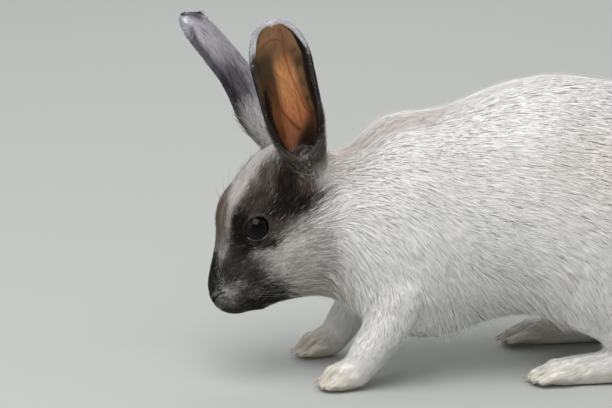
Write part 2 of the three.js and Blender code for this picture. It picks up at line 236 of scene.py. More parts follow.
# The lie of the coat: where, which way the hair points, and its length, lift and width in millimetres.
# On the head in the head's measure, on the body in millimetres from the floor under the shoulders.
coatScale = {"lift": 0.44, "headWidth": 0.66, "bodyWidth": 0.56, "reach": 3 * mm, "falloff": 2.5,
             "batch": 20000}
headGuides = [
    ((3, 0, 6), (0.8, 0, 0.8), 1.4, 0.35, 0.32),
    ((5, 8, 3), (0.9, 0.4, 0.1), 1.4, 0.35, 0.32),
    ((4, 4, -5), (0.6, 0.5, -0.6), 1.4, 0.35, 0.32),
    ((14, 0, 14), (1, 0, 0.35), 2.6, 0.6, 0.4),
    ((16, 13, -2), (1, 0.35, -0.15), 3, 0.7, 0.4),
    ((14, 12, -10), (0.8, 0.5, -0.6), 3, 0.7, 0.4),
    ((28, 0, 25), (1, 0, 0.3), 4.5, 1.5, 0.5),
    ((28, 16, 9), (1, 0.15, 0), 4.5, 0.9, 0.5),
    ((44, 0, 37), (1, 0, 0.25), 6, 2.4, 0.5),
    ((42, 15, 33), (1, 0, 0.3), 5, 1.6, 0.45),
    ((55, 16, 34), (1, 0.1, 0.3), 6, 2, 0.5),
    ((36, 21, 17), (0.9, 0, -0.45), 3.5, 0.7, 0.42),
    ((45, 25, 8), (1, 0.05, -0.35), 4.5, 0.9, 0.45),
    ((58, 24, 19), (1, 0.05, 0.1), 5.5, 1.2, 0.5),
    ((35, 22, 2), (1, 0.15, -0.25), 6, 1.2, 0.5),
    ((50, 28, -4), (1, 0.05, -0.4), 8, 1.8, 0.6),
    ((66, 29, -6), (1, 0, -0.45), 10, 2.4, 0.65),
    ((80, 27, -2), (1, 0, -0.4), 12, 3.2, 0.75),
    ((60, 0, 40), (1, 0, 0.25), 8, 3.6, 0.5),
    ((76, 0, 40), (1, 0, 0.3), 9, 4.5, 0.55),
    ((92, 0, 28), (1, 0, -0.55), 12, 3.2, 0.8),
    ((76, 18, 28), (0.75, 0.1, 0.6), 8, 2.6, 0.5),
    ((86, 25, 22), (0.45, 0.15, 0.85), 10, 3.6, 0.5),
    ((88, 8, 34), (0.4, 0, 0.9), 11, 4, 0.5),
    ((96, 18, 24), (0.9, 0.1, -0.5), 10, 2.6, 0.7),
    ((10, 0, -16), (0.9, 0, -0.4), 3, 0.8, 0.45),
    ((26, 12, -20), (1, 0.1, -0.35), 5, 1.2, 0.5),
    ((28, 0, -28), (1, 0, -0.3), 6, 1.5, 0.55),
    ((42, 14, -32), (1, 0.05, -0.4), 9, 2.4, 0.65),
    ((50, 0, -42), (1, 0, -0.3), 11, 3, 0.75),
]
bodyGuides = [
    ((-34, 0, 152), (1, 0, 0.3), 15, 4, 0.9),
    ((-36, 32, 128), (0.95, 0.05, -0.3), 16, 4.2, 0.9),
    ((-40, 38, 95), (0.8, 0, -0.6), 17, 4.6, 0.95),
    ((-52, 0, 62), (0.5, 0, -0.85), 18, 5, 1),
    ((-38, 26, 62), (0.45, 0, -0.9), 18, 5, 1),
    ((0, 0, 172), (1, 0, 0.35), 16, 3.4, 0.95),
    ((4, 28, 160), (1, 0.02, -0.15), 16, 2.8, 1),
    ((0, 44, 125), (0.9, 0.05, -0.45), 17, 3.6, 1.05),
    ((2, 50, 90), (0.55, 0.02, -0.85), 16, 4, 1),
    ((8, 44, 58), (0.45, 0, -0.9), 15, 4, 0.95),
    ((50, 0, 187), (1, 0, 0.1), 17, 3.4, 1),
    ((110, 0, 186), (1, 0, -0.12), 17, 3.4, 1),
    ((160, 0, 160), (0.75, 0, -0.65), 17, 4.2, 1),
    ((190, 0, 120), (0.3, 0, -0.95), 16, 4, 1),
    ((50, 40, 165), (1, 0.02, -0.2), 18, 2.8, 1.05),
    ((110, 42, 160), (1, 0.05, -0.25), 18, 3, 1.05),
    ((50, 58, 120), (1, 0, -0.25), 19, 4, 1.05),
    ((60, 58, 85), (1, 0, -0.3), 20, 4.8, 1.05),
    ((40, 50, 55), (0.6, 0, -0.8), 20, 5.5, 1.05),
    ((26, 34, 34), (0.35, 0, -0.95), 22, 11, 1.05),
    ((50, 36, 32), (0.5, 0, -0.85), 23, 11, 1.05),
    ((75, 40, 36), (0.7, 0, -0.7), 22, 9, 1.05),
    ((105, 62, 110), (0.9, 0.05, -0.4), 18, 4.2, 1),
    ((140, 62, 95), (0.7, 0.02, -0.7), 16, 4, 0.95),
    ((175, 45, 100), (0.5, 0.1, -0.85), 16, 4, 0.95),
    ((110, 63, 60), (0.6, 0, -0.8), 14, 3.4, 0.9),
    ((140, 58, 48), (0.6, 0, -0.8), 13, 3, 0.9),
    ((95, 58, 40), (0.5, 0, -0.85), 14, 3.2, 0.9),
    ((10, 0, 30), (0.7, 0, -0.7), 18, 6.5, 1.05),
    ((60, 0, 28), (0.8, 0, -0.6), 18, 6.5, 1.05),
    ((120, 0, 30), (1, 0, -0.1), 16, 4.4, 1),
    ((-8, 36, 46), (0.15, 0, -1), 10, 3, 0.8),
    ((-20, 44, 30), (-0.1, 0, -1), 7, 2.4, 0.7),
    ((-32, 34, 34), (-0.35, 0, -0.95), 6.5, 2.2, 0.7),
    ((-20, 26, 30), (-0.1, 0, -1), 6.5, 2.2, 0.7),
    ((-10, 34, 22), (-0.1, 0, -1), 7, 2.6, 0.7),
    ((-38, 33, 18), (-0.9, 0, -0.4), 5, 1.9, 0.62),
    ((-50, 33, 9), (-1, 0, -0.3), 4, 1.6, 0.58),
    ((160, 41, 22), (0.1, 0, -1), 7, 2.2, 0.7),
    ((135, 50, 18), (-0.6, 0, -0.6), 7, 2.3, 0.7),
    ((110, 46, 18), (-0.9, 0, -0.4), 6.5, 2.2, 0.66),
    ((92, 41, 17), (-1, 0, -0.25), 6, 2, 0.64),
    ((78, 41, 9), (-1, 0, -0.3), 4.4, 1.7, 0.6),
    ((120, 41, 2), (-1, 0, 0), 4, 0.8, 0.6),
    ((150, 52, 36), (0.35, 0, -0.9), 9, 2, 0.75),
    ((192, 0, 84), (0.7, 0, 0.6), 13, 4.6, 0.9),
    ((203, 0, 98), (0.45, 0, 0.9), 14, 5, 0.9),
    ((206, 0, 112), (0.2, 0, 1), 13, 4.6, 0.9),
    ((192, 0, 108), (0.1, 0, 1), 12, 3.8, 0.9),
]


def guideTable():
    rows = []
    for guides, place, turn, fine in ((headGuides, onHead, headAxes, coatScale["headWidth"]),
                                      (bodyGuides, onBody, np.eye(3), coatScale["bodyWidth"])):
        for spot, lie, length, lift, width in guides:
            for side in (1, -1) if spot[1] else (1,):
                mirrored = np.array((1, side, 1))
                where = place(*(np.array(spot) * mirrored))
                way = unit(turn @ (np.array(lie) * mirrored))
                rows.append((*where, *way, length * mm, lift * coatScale["lift"] * mm, width * fine * mm))
    return np.array(rows)


guides = guideTable()


def coatAt(places):
    # direction, length, lift and width at each place, from the guides round it
    found = np.empty((len(places), 6))
    for start in range(0, len(places), coatScale["batch"]):
        batch = slice(start, start + coatScale["batch"])
        away = ((places[batch, None] - guides[None, :, :3]) ** 2).sum(2) + coatScale["reach"] ** 2
        share = away ** -coatScale["falloff"]
        found[batch] = share @ guides[:, 3:] / share.sum(1, keepdims=True)
    return found[:, :3], found[:, 3], found[:, 4], found[:, 5]


# One skin over all the flesh
weldGap = 0.01 * mm
skinShape = {"closeGaps": 0.45 * mm, "voxel": 1.7 * mm, "smoothBody": 30, "smoothHead": 7, "inset": 0.75,
             "lowest": 0.9 * mm, "neck": (70, 105), "ankle": (25 * mm, 45 * mm), "sole": (14 * mm, 24 * mm)}
fleshNames = sorted(name for name in cadNodes if not name.startswith("ear") and "claw" not in name)

pickUp(*(cadNodes[name] for name in fleshNames))
bpy.ops.object.duplicate()
bpy.ops.object.parent_clear(type="CLEAR_KEEP_TRANSFORM")
bpy.ops.object.join()
skin = nameActive("skin")
del skin["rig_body"], skin["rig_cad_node"]
skin.data.materials.clear()
editAll(skin, bpy.ops.mesh.remove_doubles, threshold=weldGap)
modify(skin, "DISPLACE", strength=skinShape["closeGaps"], mid_level=0)
modify(skin, "REMESH", mode="VOXEL", voxel_size=skinShape["voxel"], adaptivity=0)
print("skin remeshed", len(skin.data.vertices))


def weightGroup(item, name, weights):
    group = item.vertex_groups.new(name=name)
    for level in range(1, 11):
        chosen = np.nonzero(np.round(weights * 10).astype(int) == level)[0]
        group.add(chosen.tolist(), level / 10, "REPLACE")
    return group.name


def bodyShare(places):
    # 1 on the trunk and thighs, 0 on the head and feet
    return fade(inHead(places)[:, 0], *skinShape["neck"]) * fade(places[:, 2], *skinShape["ankle"])


places = placesOf(skin)
offFeet = 0.3 + 0.7 * fade(places[:, 2], *skinShape["sole"])
for name, weights, rounds in (("body", bodyShare(places), skinShape["smoothBody"]),
                              ("offFeet", offFeet, skinShape["smoothHead"])):
    group = weightGroup(skin, name, weights)
    modify(skin, "SMOOTH", factor=0.5, iterations=rounds, vertex_group=group)
skin.vertex_groups.clear()

# Both shoulder blades stand up a little beside the dip of the spine between them
blades = [((-6, 19, 150), 20, 4.2), ((-6, -24, 147), 22, 2.2), ((-4, -3, 151), 9, -2.6),
          ((14, -12, 159), 9, -2.2)]
places = placesOf(skin)
normals = normalsOf(skin)
for spot, reach, rise in blades:
    away = np.linalg.norm(places - onBody(*spot), axis=1) / (reach * mm)
    places += normals * (rise * mm * np.exp(-away ** 2))[:, None]
setPlaces(skin, places)

# Finer faces on the face, and finest at the eyes, nose and mouth
refine = {"face": 62, "throat": 48 * mm, "feet": 16 * mm, "eyeReach": 14 * mm, "noseReach": 21 * mm}


def refineWhere(item, chosen):
    pickUp(item)
    faces = item.data.polygons
    corners = readAll(item.data.loops, "vertex_index", 1, int)[:, 0]
    starts = readAll(faces, "loop_start", 1, int)[:, 0]
    marks = np.minimum.reduceat(chosen[corners].astype(int), starts).astype(bool)
    bpy.ops.object.mode_set(mode="EDIT")
    bpy.ops.mesh.select_mode(type="FACE")
    bpy.ops.mesh.select_all(action="DESELECT")
    bpy.ops.object.mode_set(mode="OBJECT")
    faces.foreach_set("select", marks)
    bpy.ops.object.mode_set(mode="EDIT")
    bpy.ops.mesh.subdivide(number_cuts=1, smoothness=0.6)
    bpy.ops.object.mode_set(mode="OBJECT")


places = placesOf(skin)
refineWhere(skin, (inHead(places)[:, 0] < refine["face"]) & (places[:, 0] < shoulders[0] - refine["throat"])
            | (places[:, 2] < refine["feet"]))
places = placesOf(skin)
nearNose = np.linalg.norm(places - onHead(6, 0, -3), axis=1)
refineWhere(skin, (eyeGap(places) < refine["eyeReach"]) | (nearNose < refine["noseReach"]))
modify(skin, "TRIANGULATE")
print("skin refined", len(skin.data.polygons))

# The skin's own unwrap, for the coat's bake map
editAll(skin, bpy.ops.uv.smart_project, angle_limit=math.radians(70), island_margin=0.002)
skin.data.uv_layers[0].name = "OFBake"
print("skin unwrapped")

# The skin lies under the coat
places = placesOf(skin)
normals = normalsOf(skin)
lift = coatAt(places)[2]
clearOfEye = fade(eyeGap(places), eyeShape["radius"] + 1 * mm, eyeShape["radius"] + 6 * mm)
depth = (lift * skinShape["inset"] + skinShape["closeGaps"]) * (0.15 + 0.85 * clearOfEye)
places = places - normals * depth[:, None]
places[:, 2] = np.maximum(places[:, 2], skinShape["lowest"])
setPlaces(skin, places)

# Eyelids: the skin opens round each eyeball, thickens into a lid, and has a fold above and below
lidShape = {"halfLength": 8.4 * mm, "halfHeight": 7.2 * mm, "tilt": -8, "look": (-0.08, 0.97, 0.2),
            "thickness": 0.7 * mm, "breadth": 2.0 * mm, "corner": 1.4 * mm, "palest": -0.9,
            "foldDepth": 0.45 * mm, "foldAt": 2.6 * mm, "foldWidth": 0.5 * mm, "merge": 3.4 * mm,
            "sunk": 1.5 * mm, "reach": 6 * mm, "height": 7 * mm}


def lidAxes(side):
    out = unit(headAxes @ (np.array(lidShape["look"]) * (1, side, 1)))
    back = headAxes @ np.array((1, 0, 0))
    back = unit(back - out * (back @ out))
    up = np.cross(out, back) * -side
    turn = math.radians(lidShape["tilt"])
    return out, back * math.cos(turn) + up * math.sin(turn), up * math.cos(turn) - back * math.sin(turn)


def lidOpening(angle):
    # the distance from the middle of the opening to the lid's edge, drawn out to a corner at the front
    a, b = lidShape["halfLength"], lidShape["halfHeight"]
    reach = a * b / np.sqrt((b * np.cos(angle)) ** 2 + (a * np.sin(angle)) ** 2)
    front = np.clip(-np.cos(angle), 0, 1) ** 10
    return reach + lidShape["corner"] * front


def roundEye(places, label):
    # where places lie from an eye's middle, whether in front of it, and how far beyond its opening
    out, back, up = lidAxes(sides[label])
    away = places - eyeCentres[label]
    opening = lidOpening(np.arctan2(away @ up, away @ back))
    return away, away @ out > 0, np.hypot(away @ back, away @ up) - opening


places = placesOf(skin)
for label, centre in eyeCentres.items():
    away, inFront, beyond = roundEye(places, label)
    radius = np.linalg.norm(away, axis=1)
    near = inFront & (beyond < lidShape["reach"]) & (radius < eyeShape["radius"] + lidShape["height"])
    lidRadius = eyeShape["radius"] + lidShape["thickness"] * (1 - 0.5 * fade(beyond, 0, 3 * mm))
    sink = fade(-beyond, 0.1 * mm, 0.6 * mm)
    merge = fade(beyond, lidShape["breadth"], lidShape["breadth"] + lidShape["merge"])
    fold = lidShape["foldDepth"] * np.exp(-((beyond - lidShape["foldAt"]) / lidShape["foldWidth"]) ** 2)
    wanted = lidRadius * (1 - merge) + radius * merge - fold
    wanted = wanted * (1 - sink) + (eyeShape["radius"] - lidShape["sunk"]) * sink
    moved = centre + away / radius[:, None] * wanted[:, None]
    places[near] = moved[near]
setPlaces(skin, places)

# Nostrils, the cleft under them, and the mouth, as grooves along lines on the skin
grooves = {
    "nostril": {"depth": 1.5, "width": 0.75, "lip": 0.35, "mirror": True,
                "line": [(1.5, 1.4, -1.5), (1.2, 3, 1.2), (3, 6.6, 3.4), (6, 9.6, 3.8), (9, 11.2, 2.4)]},
    "cleft": {"depth": 0.9, "width": 0.5, "lip": 0.25, "mirror": False,
              "line": [(0.5, 0, -0.5), (1, 0, -4), (3.5, 0, -8), (7.5, 0, -11.5)]},
    "mouth": {"depth": 1.3, "width": 0.7, "lip": 0.5, "mirror": True,
              "line": [(7.5, 0, -11.5), (11, 5, -13.5), (17, 10, -14.5), (24, 13.5, -14), (30, 16, -12)]},
}


def curveThrough(points, count):
    points = np.array(points, float)
    run = runOf(points)
    line = readLine(np.linspace(0, run[-1], count), run, points)
    for _ in range(max(1, count // 8)):  # rounds the corners
        line[1:-1] = (line[:-2] + 2 * line[1:-1] + line[2:]) / 4
    return line


def treeOf(item):
    item.data.calc_loop_triangles()
    corners = readAll(item.data.loop_triangles, "vertices", 3, int)
    return BVHTree.FromPolygons(placesOf(item).tolist(), corners.tolist(), all_triangles=True)


def lineOnSkin(spots):
    return np.array([uncutTree.find_nearest(spot)[0] for spot in spots])


def cutGroove(places, normals, chosen, line, groove):
    # a groove along a line, shallow at its ends and raised along its edges
    gap = np.linalg.norm(places[chosen][:, None] - line[None], axis=2)
    nearest = gap.argmin(1)
    gap = gap.min(1) / mm
    ends = np.minimum(1, np.minimum(nearest + 2, len(line) - nearest) / 6)
    cut = groove["depth"] * np.exp(-(gap / groove["width"]) ** 2)
    cut -= groove["lip"] * np.exp(-((gap - 2 * groove["width"]) / groove["width"]) ** 2)
    places[chosen] -= normals[chosen] * (cut * ends * mm)[:, None]


uncutTree = treeOf(skin)
places = placesOf(skin)
normals = normalsOf(skin)
nearFace = np.nonzero(inHead(places)[:, 0] < 40)[0]
for groove in grooves.values():
    for side in (1, -1) if groove["mirror"] else (1,):
        line = lineOnSkin(onHead(a, b * side, c) for a, b, c in curveThrough(groove["line"], 40))
        cutGroove(places, normals, nearFace, line, groove)

# The toes part between the claws, and each cleft runs back over the foot
toeShape = {"depth": 2.2, "width": 1.1, "lip": 0.5, "back": {"fore": 12 * mm, "hind": 20 * mm},
            "rise": 0.35, "lift": 4 * mm, "highest": 8 * mm, "near": 24 * mm}
for foot in ("fore_foot_left", "fore_foot_right", "hind_foot_left", "hind_foot_right"):
    claws = [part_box(name) for name in cadNodes if name.startswith(foot + "_claw")]
    toes = [(high.x, (low.y + high.y) / 2, (low.z + high.z) / 2) for low, high in claws]
    toes = sorted((toe for toe in toes if toe[2] < toeShape["highest"]), key=lambda toe: toe[1])
    run = toeShape["back"][foot[:4]]
    for one, other in zip(toes, toes[1:]):
        front = (np.array(one) + np.array(other)) / 2 + np.array((-1, 0, 2)) * mm
        ways = ((run * share, 0, run * share * toeShape["rise"] + toeShape["lift"] * share)
                for share in np.linspace(0, 1, 20))
        line = lineOnSkin(front + np.array(way) for way in ways)
        chosen = np.nonzero(np.linalg.norm(places - line[8], axis=1) < toeShape["near"])[0]
        cutGroove(places, normals, chosen, line, toeShape)

# The lower lip sits back under the upper one
spot = inHead(places)
underLip = fade(-spot[:, 2], 13.5, 17) * fade(-spot[:, 0], -34, -24) * fade(spot[:, 2], -34, -24)
places -= normals * (0.8 * mm * underLip)[:, None]
setPlaces(skin, places)
smoothShade(skin)
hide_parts(*(name for name in fleshNames if not name.startswith("eye")))
print("face sculpted")


# Shader nodes: a wire is a node's output, and sums on wires add their Math nodes
class Wire:
    def __init__(self, tree, socket):
        self.tree = tree
        self.socket = socket

    def make(self, kind, settings=None, inputs=None, output=0):
        node = self.tree.nodes.new(kind)
        for name, value in (settings or {}).items():
            setattr(node, name, value)
        for name, value in (inputs or {}).items():
            if isinstance(value, Wire):
                self.tree.links.new(value.socket, node.inputs[name])
            else:
                node.inputs[name].default_value = value
        return Wire(self.tree, node.outputs[output])

    def maths(self, operation, *values):
        return self.make("ShaderNodeMath", {"operation": operation}, dict(enumerate(values)))

    def __add__(self, other):
        return self.maths("ADD", self, other)

    __radd__ = __add__

    def __sub__(self, other):
        return self.maths("SUBTRACT", self, other)

    def __rsub__(self, other):
        return self.maths("SUBTRACT", other, self)

    def __mul__(self, other):
        return self.maths("MULTIPLY", self, other)

    __rmul__ = __mul__

    def __abs__(self):
        return self.maths("ABSOLUTE", self)

    def vectors(self, operation, inputs, output=0):
        return self.make("ShaderNodeVectorMath", {"operation": operation}, {0: self, **inputs}, output)

    def length(self):
        return self.vectors("LENGTH", {}, "Value")

    def split(self):
        parts = self.make("ShaderNodeSeparateXYZ", None, {0: self}).socket.node
        return [Wire(self.tree, socket) for socket in parts.outputs]

    def step(self, low, high):
        # 0 at low, 1 at high, smooth between
        return self.make("ShaderNodeMapRange", {"interpolation_type": "SMOOTHSTEP"},
                         {"Value": self, "From Min": low, "From Max": high})

    def noise(self, scale, detail):
        return self.make("ShaderNodeTexNoise", None, {"Vector": self, "Scale": scale, "Detail": detail})

    def scaled(self, *size):
        return self.make("ShaderNodeMapping", None, {"Vector": self, "Scale": size})

    def within(self, centre, size, turn=(0, 0, 0)):
        # this place as seen from a centre, in a size of its own, and turned
        return self.make("ShaderNodeMapping", {"vector_type": "TEXTURE"},
                         {"Vector": self, "Location": centre, "Rotation": turn, "Scale": size})

    def between(self, one, other):
        # one colour at 0 and the other at 1
        return self.make("ShaderNodeMix", {"data_type": "RGBA"}, {0: self, 6: shade(one), 7: shade(other)}, 2)

    def over(self, mask, colour):
        # this colour with another laid over it by a mask
        colour = shade(colour) if isinstance(colour, str) else colour
        return self.make("ShaderNodeMix", {"data_type": "RGBA"}, {0: mask, 6: self, 7: colour}, 2)


def shade(hexColour):
    # a written colour as the shader's own linear one
    parts = [int(hexColour[i:i + 2], 16) / 255 for i in (1, 3, 5)]
    return (*(p / 12.92 if p <= 0.04045 else ((p + 0.055) / 1.055) ** 2.4 for p in parts), 1)


def newMaterial(name, **constants):
    material = bpy.data.materials.new(name)
    material.use_nodes = True
    shader = material.node_tree.nodes["Principled BSDF"]
    for socket, value in constants.items():
        shader.inputs[socket.replace("_", " ")].default_value = value
    return material, shader, Wire(material.node_tree, None)


def feed(shader, socket, wire):
    wire.tree.links.new(wire.socket, shader.inputs[socket])


def feedBump(shader, height, strength, distance):
    bump = height.make("ShaderNodeBump", None,
                       {"Height": height, "Strength": strength, "Distance": distance * mm}, "Normal")
    feed(shader, "Normal", bump)


def joined(*parts):
    return parts[0].make("ShaderNodeCombineXYZ", None, dict(enumerate(parts)))


def largest(one, other):
    return one.maths("MAXIMUM", one, other)


# Markings of the head, in the head's measure: centre, radii, lean in degrees, softness, colour, strength.
# The ones on both sides are given for the right side.
bothSides = [
    ((37, 0, 28), (18, 14, 10), -42, 0.35, "#5f4d41", 0.9),
    ((63, 11, 34), (19, 13, 10), 0, 0.45, "#5d4e45", 0.85),
    ((72, 13, 32), (9, 8, 7), 0, 0.6, "#4a3c34", 0.6),
    ((78, 22, 18), (10, 11, 15), 0, 0.45, "#5a4637", 0.92),
    ((68, 20, 24), (20, 9, 9), 0, 0.45, "#5f5047", 0.8),
    ((60, 25, 9), (12, 7, 6), 20, 0.6, "#746b64", 0.7),
    ((54, 22, 13), (9, 7, 8), 20, 0.45, "#463d37", 0.88),
    ((51, 17, 28), (15, 8, 8), 0, 0.4, "#3a302a", 0.88),
    ((40, 18, 25), (9, 7, 9), -35, 0.35, "#0b0908", 0.98),
    ((33, 17, 18), (10, 7, 8), -40, 0.35, "#110e0c", 0.97),
    ((55.5, 20, 25), (6, 4.5, 2.8), 20, 0.5, "#544d48", 0.75),
    ((76, 20, 24), (18, 9, 7), -37, 0.45, "#261c16", 0.94),
    ((65, 23, 15), (16, 8, 7), 40, 0.4, "#17120d", 0.95),
    ((27, 13, 13), (9, 8, 8), 0, 0.4, "#282422", 0.9),
    # under the eye: a brown tear streak, darkened further as painted shade in the crease below the lid
    ((42, 22, 11), (12, 6, 4.5), 40, 0.5, "#1a130d", 0.94),
    ((19, 11, 9), (9, 8, 8), 0, 0.4, "#2f2c2a", 0.95),
    ((26, 17, 4), (11, 8, 7), 0, 0.5, "#37332e", 0.85),
    ((14, 13, -4), (8, 7, 4.5), 0, 0.5, "#3e3a36", 0.85),
    ((24, 15, -3), (8, 6, 6), 0, 0.5, "#2b2923", 0.85),
    # under the chin and jaw: partly the jaw's own dark grey, partly painted shade beneath the head
    ((11, 12, -10.5), (8, 9, 4.5), 0, 0.4, "#201f19", 0.93),
    ((19, 0, -18), (29, 22, 16), -20, 0.3, "#1d1c16", 0.97),
    ((10, 0, 1), (16, 12, 12), 40, 0.3, "#121010", 0.97),
    ((13, 0, 12), (14, 8.5, 6), -45, 0.3, "#0c0b0a", 0.97),
    ((5, 6, -7), (8, 9, 8), 0, 0.4, "#24221f", 0.9),
    ((4.5, 8, 4), (3.2, 4, 1.3), 15, 0.6, "#958d97", 0.7),
]
oneSide = [
    ((76, -2, 40), (24, 7, 8), 0, 0.5, "#e4dedb", 0.92),
    ((57, -6, 39), (11, 5, 6), -12, 0.5, "#d8d1cd", 0.95),
    ((49, -10.5, 36.5), (8, 3, 5), -20, 0.6, "#d2cac6", 0.92),
    ((39, -12, 31), (8, 2.2, 5), -35, 0.7, "#a89d97", 0.78),
    ((28, -8, 23.5), (8, 3.2, 4.5), -45, 0.6, "#85807d", 0.88),
    ((40, -3, 33), (7, 1.8, 5), -35, 0.8, "#a99c94", 0.45),
    ((97, -17, 33), (13, 9, 12), 0, 0.5, "#33291f", 0.92),
]
bodyMarks = [
    ((-48, 0, 138), (16, 34, 16), 0, 0.5, "#ddccbc", 0.5),
    # a pinkish beige crescent in the dip between the shoulder blades: partly the coat's underlayer, partly
    # painted shade in the crease
    ((-6, -1, 151), (30, 14, 9), -20, 0.6, "#d6c6be", 0.65),
    ((118, -45, 140), (40, 30, 24), 0, 0.8, "#e2d3c6", 0.4),
    ((-50, 0, 2), (26, 70, 16), 0, 0.7, "#e8dcc2", 0.7),
    ((98, 0, 0), (46, 90, 14), 0, 0.7, "#e8dcc2", 0.6),
]


def markings(wires, place, tone):
    # the coat's colour at a place; tone shifts each hair a little lighter or darker
    head = place.within(tuple(noseTip), (headUnit,) * 3, tuple(headTurn.to_euler()))
    back, side, up = head.split()
    mirrored = joined(back, abs(side), up)
    body = place.within(tuple(shoulders), (mm,) * 3)
    ragged = place.noise(220, 4)
    rough = (ragged - 0.5) * 0.7 + tone * 0.28
    mottle = ragged.step(0.3, 0.62) - tone * 0.3
    streaks = place.scaled(55, 120, 190).noise(1, 5)
    rear = body.split()[0].step(-10, 150)
    streaky = (streaks + tone * 0.05).step(0.5, 0.74) * (0.1 + rear * 0.4)
    colour = streaky.between("#f8f6f3", "#d3c8be")

    def marked(colour, where, marks):
        for centre, radii, lean, soft, tint, strength in marks:
            reach = where.within(centre, radii, (0, math.radians(lean), 0)).length() + rough
            mask = reach.step(1 + soft, 1 - soft) * (mottle * 0.3 + (strength - 0.15))
            colour = colour.over(mask, tint)
        return colour

    colour = marked(colour, body, bodyMarks)
    headShare = head.within((38, 0, 0), (40, 60, 50)).length()
    grizzle = (ragged * 0.8 + tone * 0.3 + 0.1).step(0.2, 0.8).between("#928a82", "#e0dcd6")
    colour = colour.over((headShare + rough * 0.5).step(1.15, 0.75) * 0.85, grizzle)
    return marked(marked(colour, mirrored, bothSides), head, oneSide)


def attribute(wires, name, output="Fac"):
    return wires.make("ShaderNodeAttribute", {"attribute_name": name}, None, output)


def objectPlace(wires):
    return wires.make("ShaderNodeTexCoord", output="Object")


def hairGrain(wires, place):
    # fine noise drawn out along the lie of the coat
    lie = attribute(wires, "lie", "Vector")
    run = place.vectors("DOT_PRODUCT", {1: lie}, "Value")
    along = lie.vectors("SCALE", {"Scale": run * 0.9})
    return place.vectors("SUBTRACT", {1: along}).noise(1100, 3)


def skinMaterial():
    material, shader, wires = newMaterial("coat_skin", Roughness=0.85, Specular_IOR_Level=0.25)
    place = objectPlace(wires)
    strands = hairGrain(wires, place)
    feed(shader, "Base Color", markings(wires, place, strands * 2.4 - 1.2))
    feedBump(shader, strands, 0.7, 0.6)
    return material


def coatMaterial(name, colourAt, rootShade=0.9):
    # painted shade darkens each hair towards its root, and each tuft has its own tone
    material, shader, wires = newMaterial(name, Roughness=0.65, Specular_IOR_Level=0.14,
                                          Sheen_Weight=0.02)
    tone = attribute(wires, "tone")
    reach = attribute(wires, "reach")
    colour = colourAt(wires, attribute(wires, "rootPlace", "Vector"), tone)
    shadow = wires.make("ShaderNodeMix", {"data_type": "RGBA", "blend_type": "MULTIPLY"},
                        {0: 1.0, 6: colour, 7: (rootShade, rootShade, rootShade, 1)}, 2)
    feed(shader, "Base Color", shadow.over(reach.step(-0.2, 0.7) * (0.9 + tone * 0.1), colour))
    return material


addAttributes(skin, lie=unit(coatAt(placesOf(skin))[0]))
skin.data.materials.append(skinMaterial())
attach(skin, "root")

# Ears: a shell curled round a curved spine, open to one side
earShape = {"length": 96 * mm, "width": 32.4 * mm, "thickness": 1.5 * mm, "turnOut": 1.2 * mm,
            "rows": 110, "columns": 72, "lower": 0.63, "upper": 0.62}
earProfile = [  # share of the length, half width in ear widths, half curl in degrees
    (0, 0.22, 177), (0.2, 0.31, 177), (0.29, 0.35, 172), (0.35, 0.38, 146), (0.43, 0.43, 114),
    (0.53, 0.475, 86), (0.65, 0.505, 64), (0.82, 0.52, 48), (1, 0.5, 38)]
earPlaces = {
    "left": {"root": (84.5, -8, 5), "lean": (-0.26, -0.35, 0.9), "tipLean": (-0.25, -0.28, 0.93),
             "opening": (-0.15, -1, 0.1), "roll": 0, "foot": 1, "blunt": 0.72, "rim": 1, "veins": 4},
    "right": {"root": (87, 7, 11), "lean": (-0.49, 0.186, 0.81), "tipLean": (-0.64, 0.022, 0.68),
              "opening": (-0.96, 0.27, 0), "roll": 12, "foot": 0.88, "blunt": 0.84, "rim": 0.25,
              "veins": 9},
}


def earSpine(place, count=240):
    # a smooth line through the root, the middle and the tip, even along its length
    root = onHead(*place["root"])
    middle = root + unit(np.array(place["lean"])) * earShape["length"] * earShape["lower"]
    tip = middle + unit(np.array(place["tipLean"])) * earShape["length"] * earShape["upper"]
    points = [2 * root - middle, root, middle, tip, 2 * tip - middle]
    line = []
    for a, b, c, d in zip(points, points[1:], points[2:], points[3:]):
        first, mid, last = (np.sqrt(np.linalg.norm(q - p)) for p, q in ((a, b), (b, c), (c, d)))
        slopeB = ((b - a) / first - (c - a) / (first + mid) + (c - b) / mid) * mid
        slopeC = ((c - b) / mid - (d - b) / (mid + last) + (d - c) / last) * mid
        t = np.linspace(0, 1, count // 2)[:, None]
        line.append((2 * t ** 3 - 3 * t ** 2 + 1) * b + (t ** 3 - 2 * t ** 2 + t) * slopeB
                    + (3 * t ** 2 - 2 * t ** 3) * c + (t ** 3 - t ** 2) * slopeC)
    line = np.concatenate([line[0], line[1][1:]])
    run = runOf(line)
    return readLine(np.linspace(0, run[-1], count), run, line)


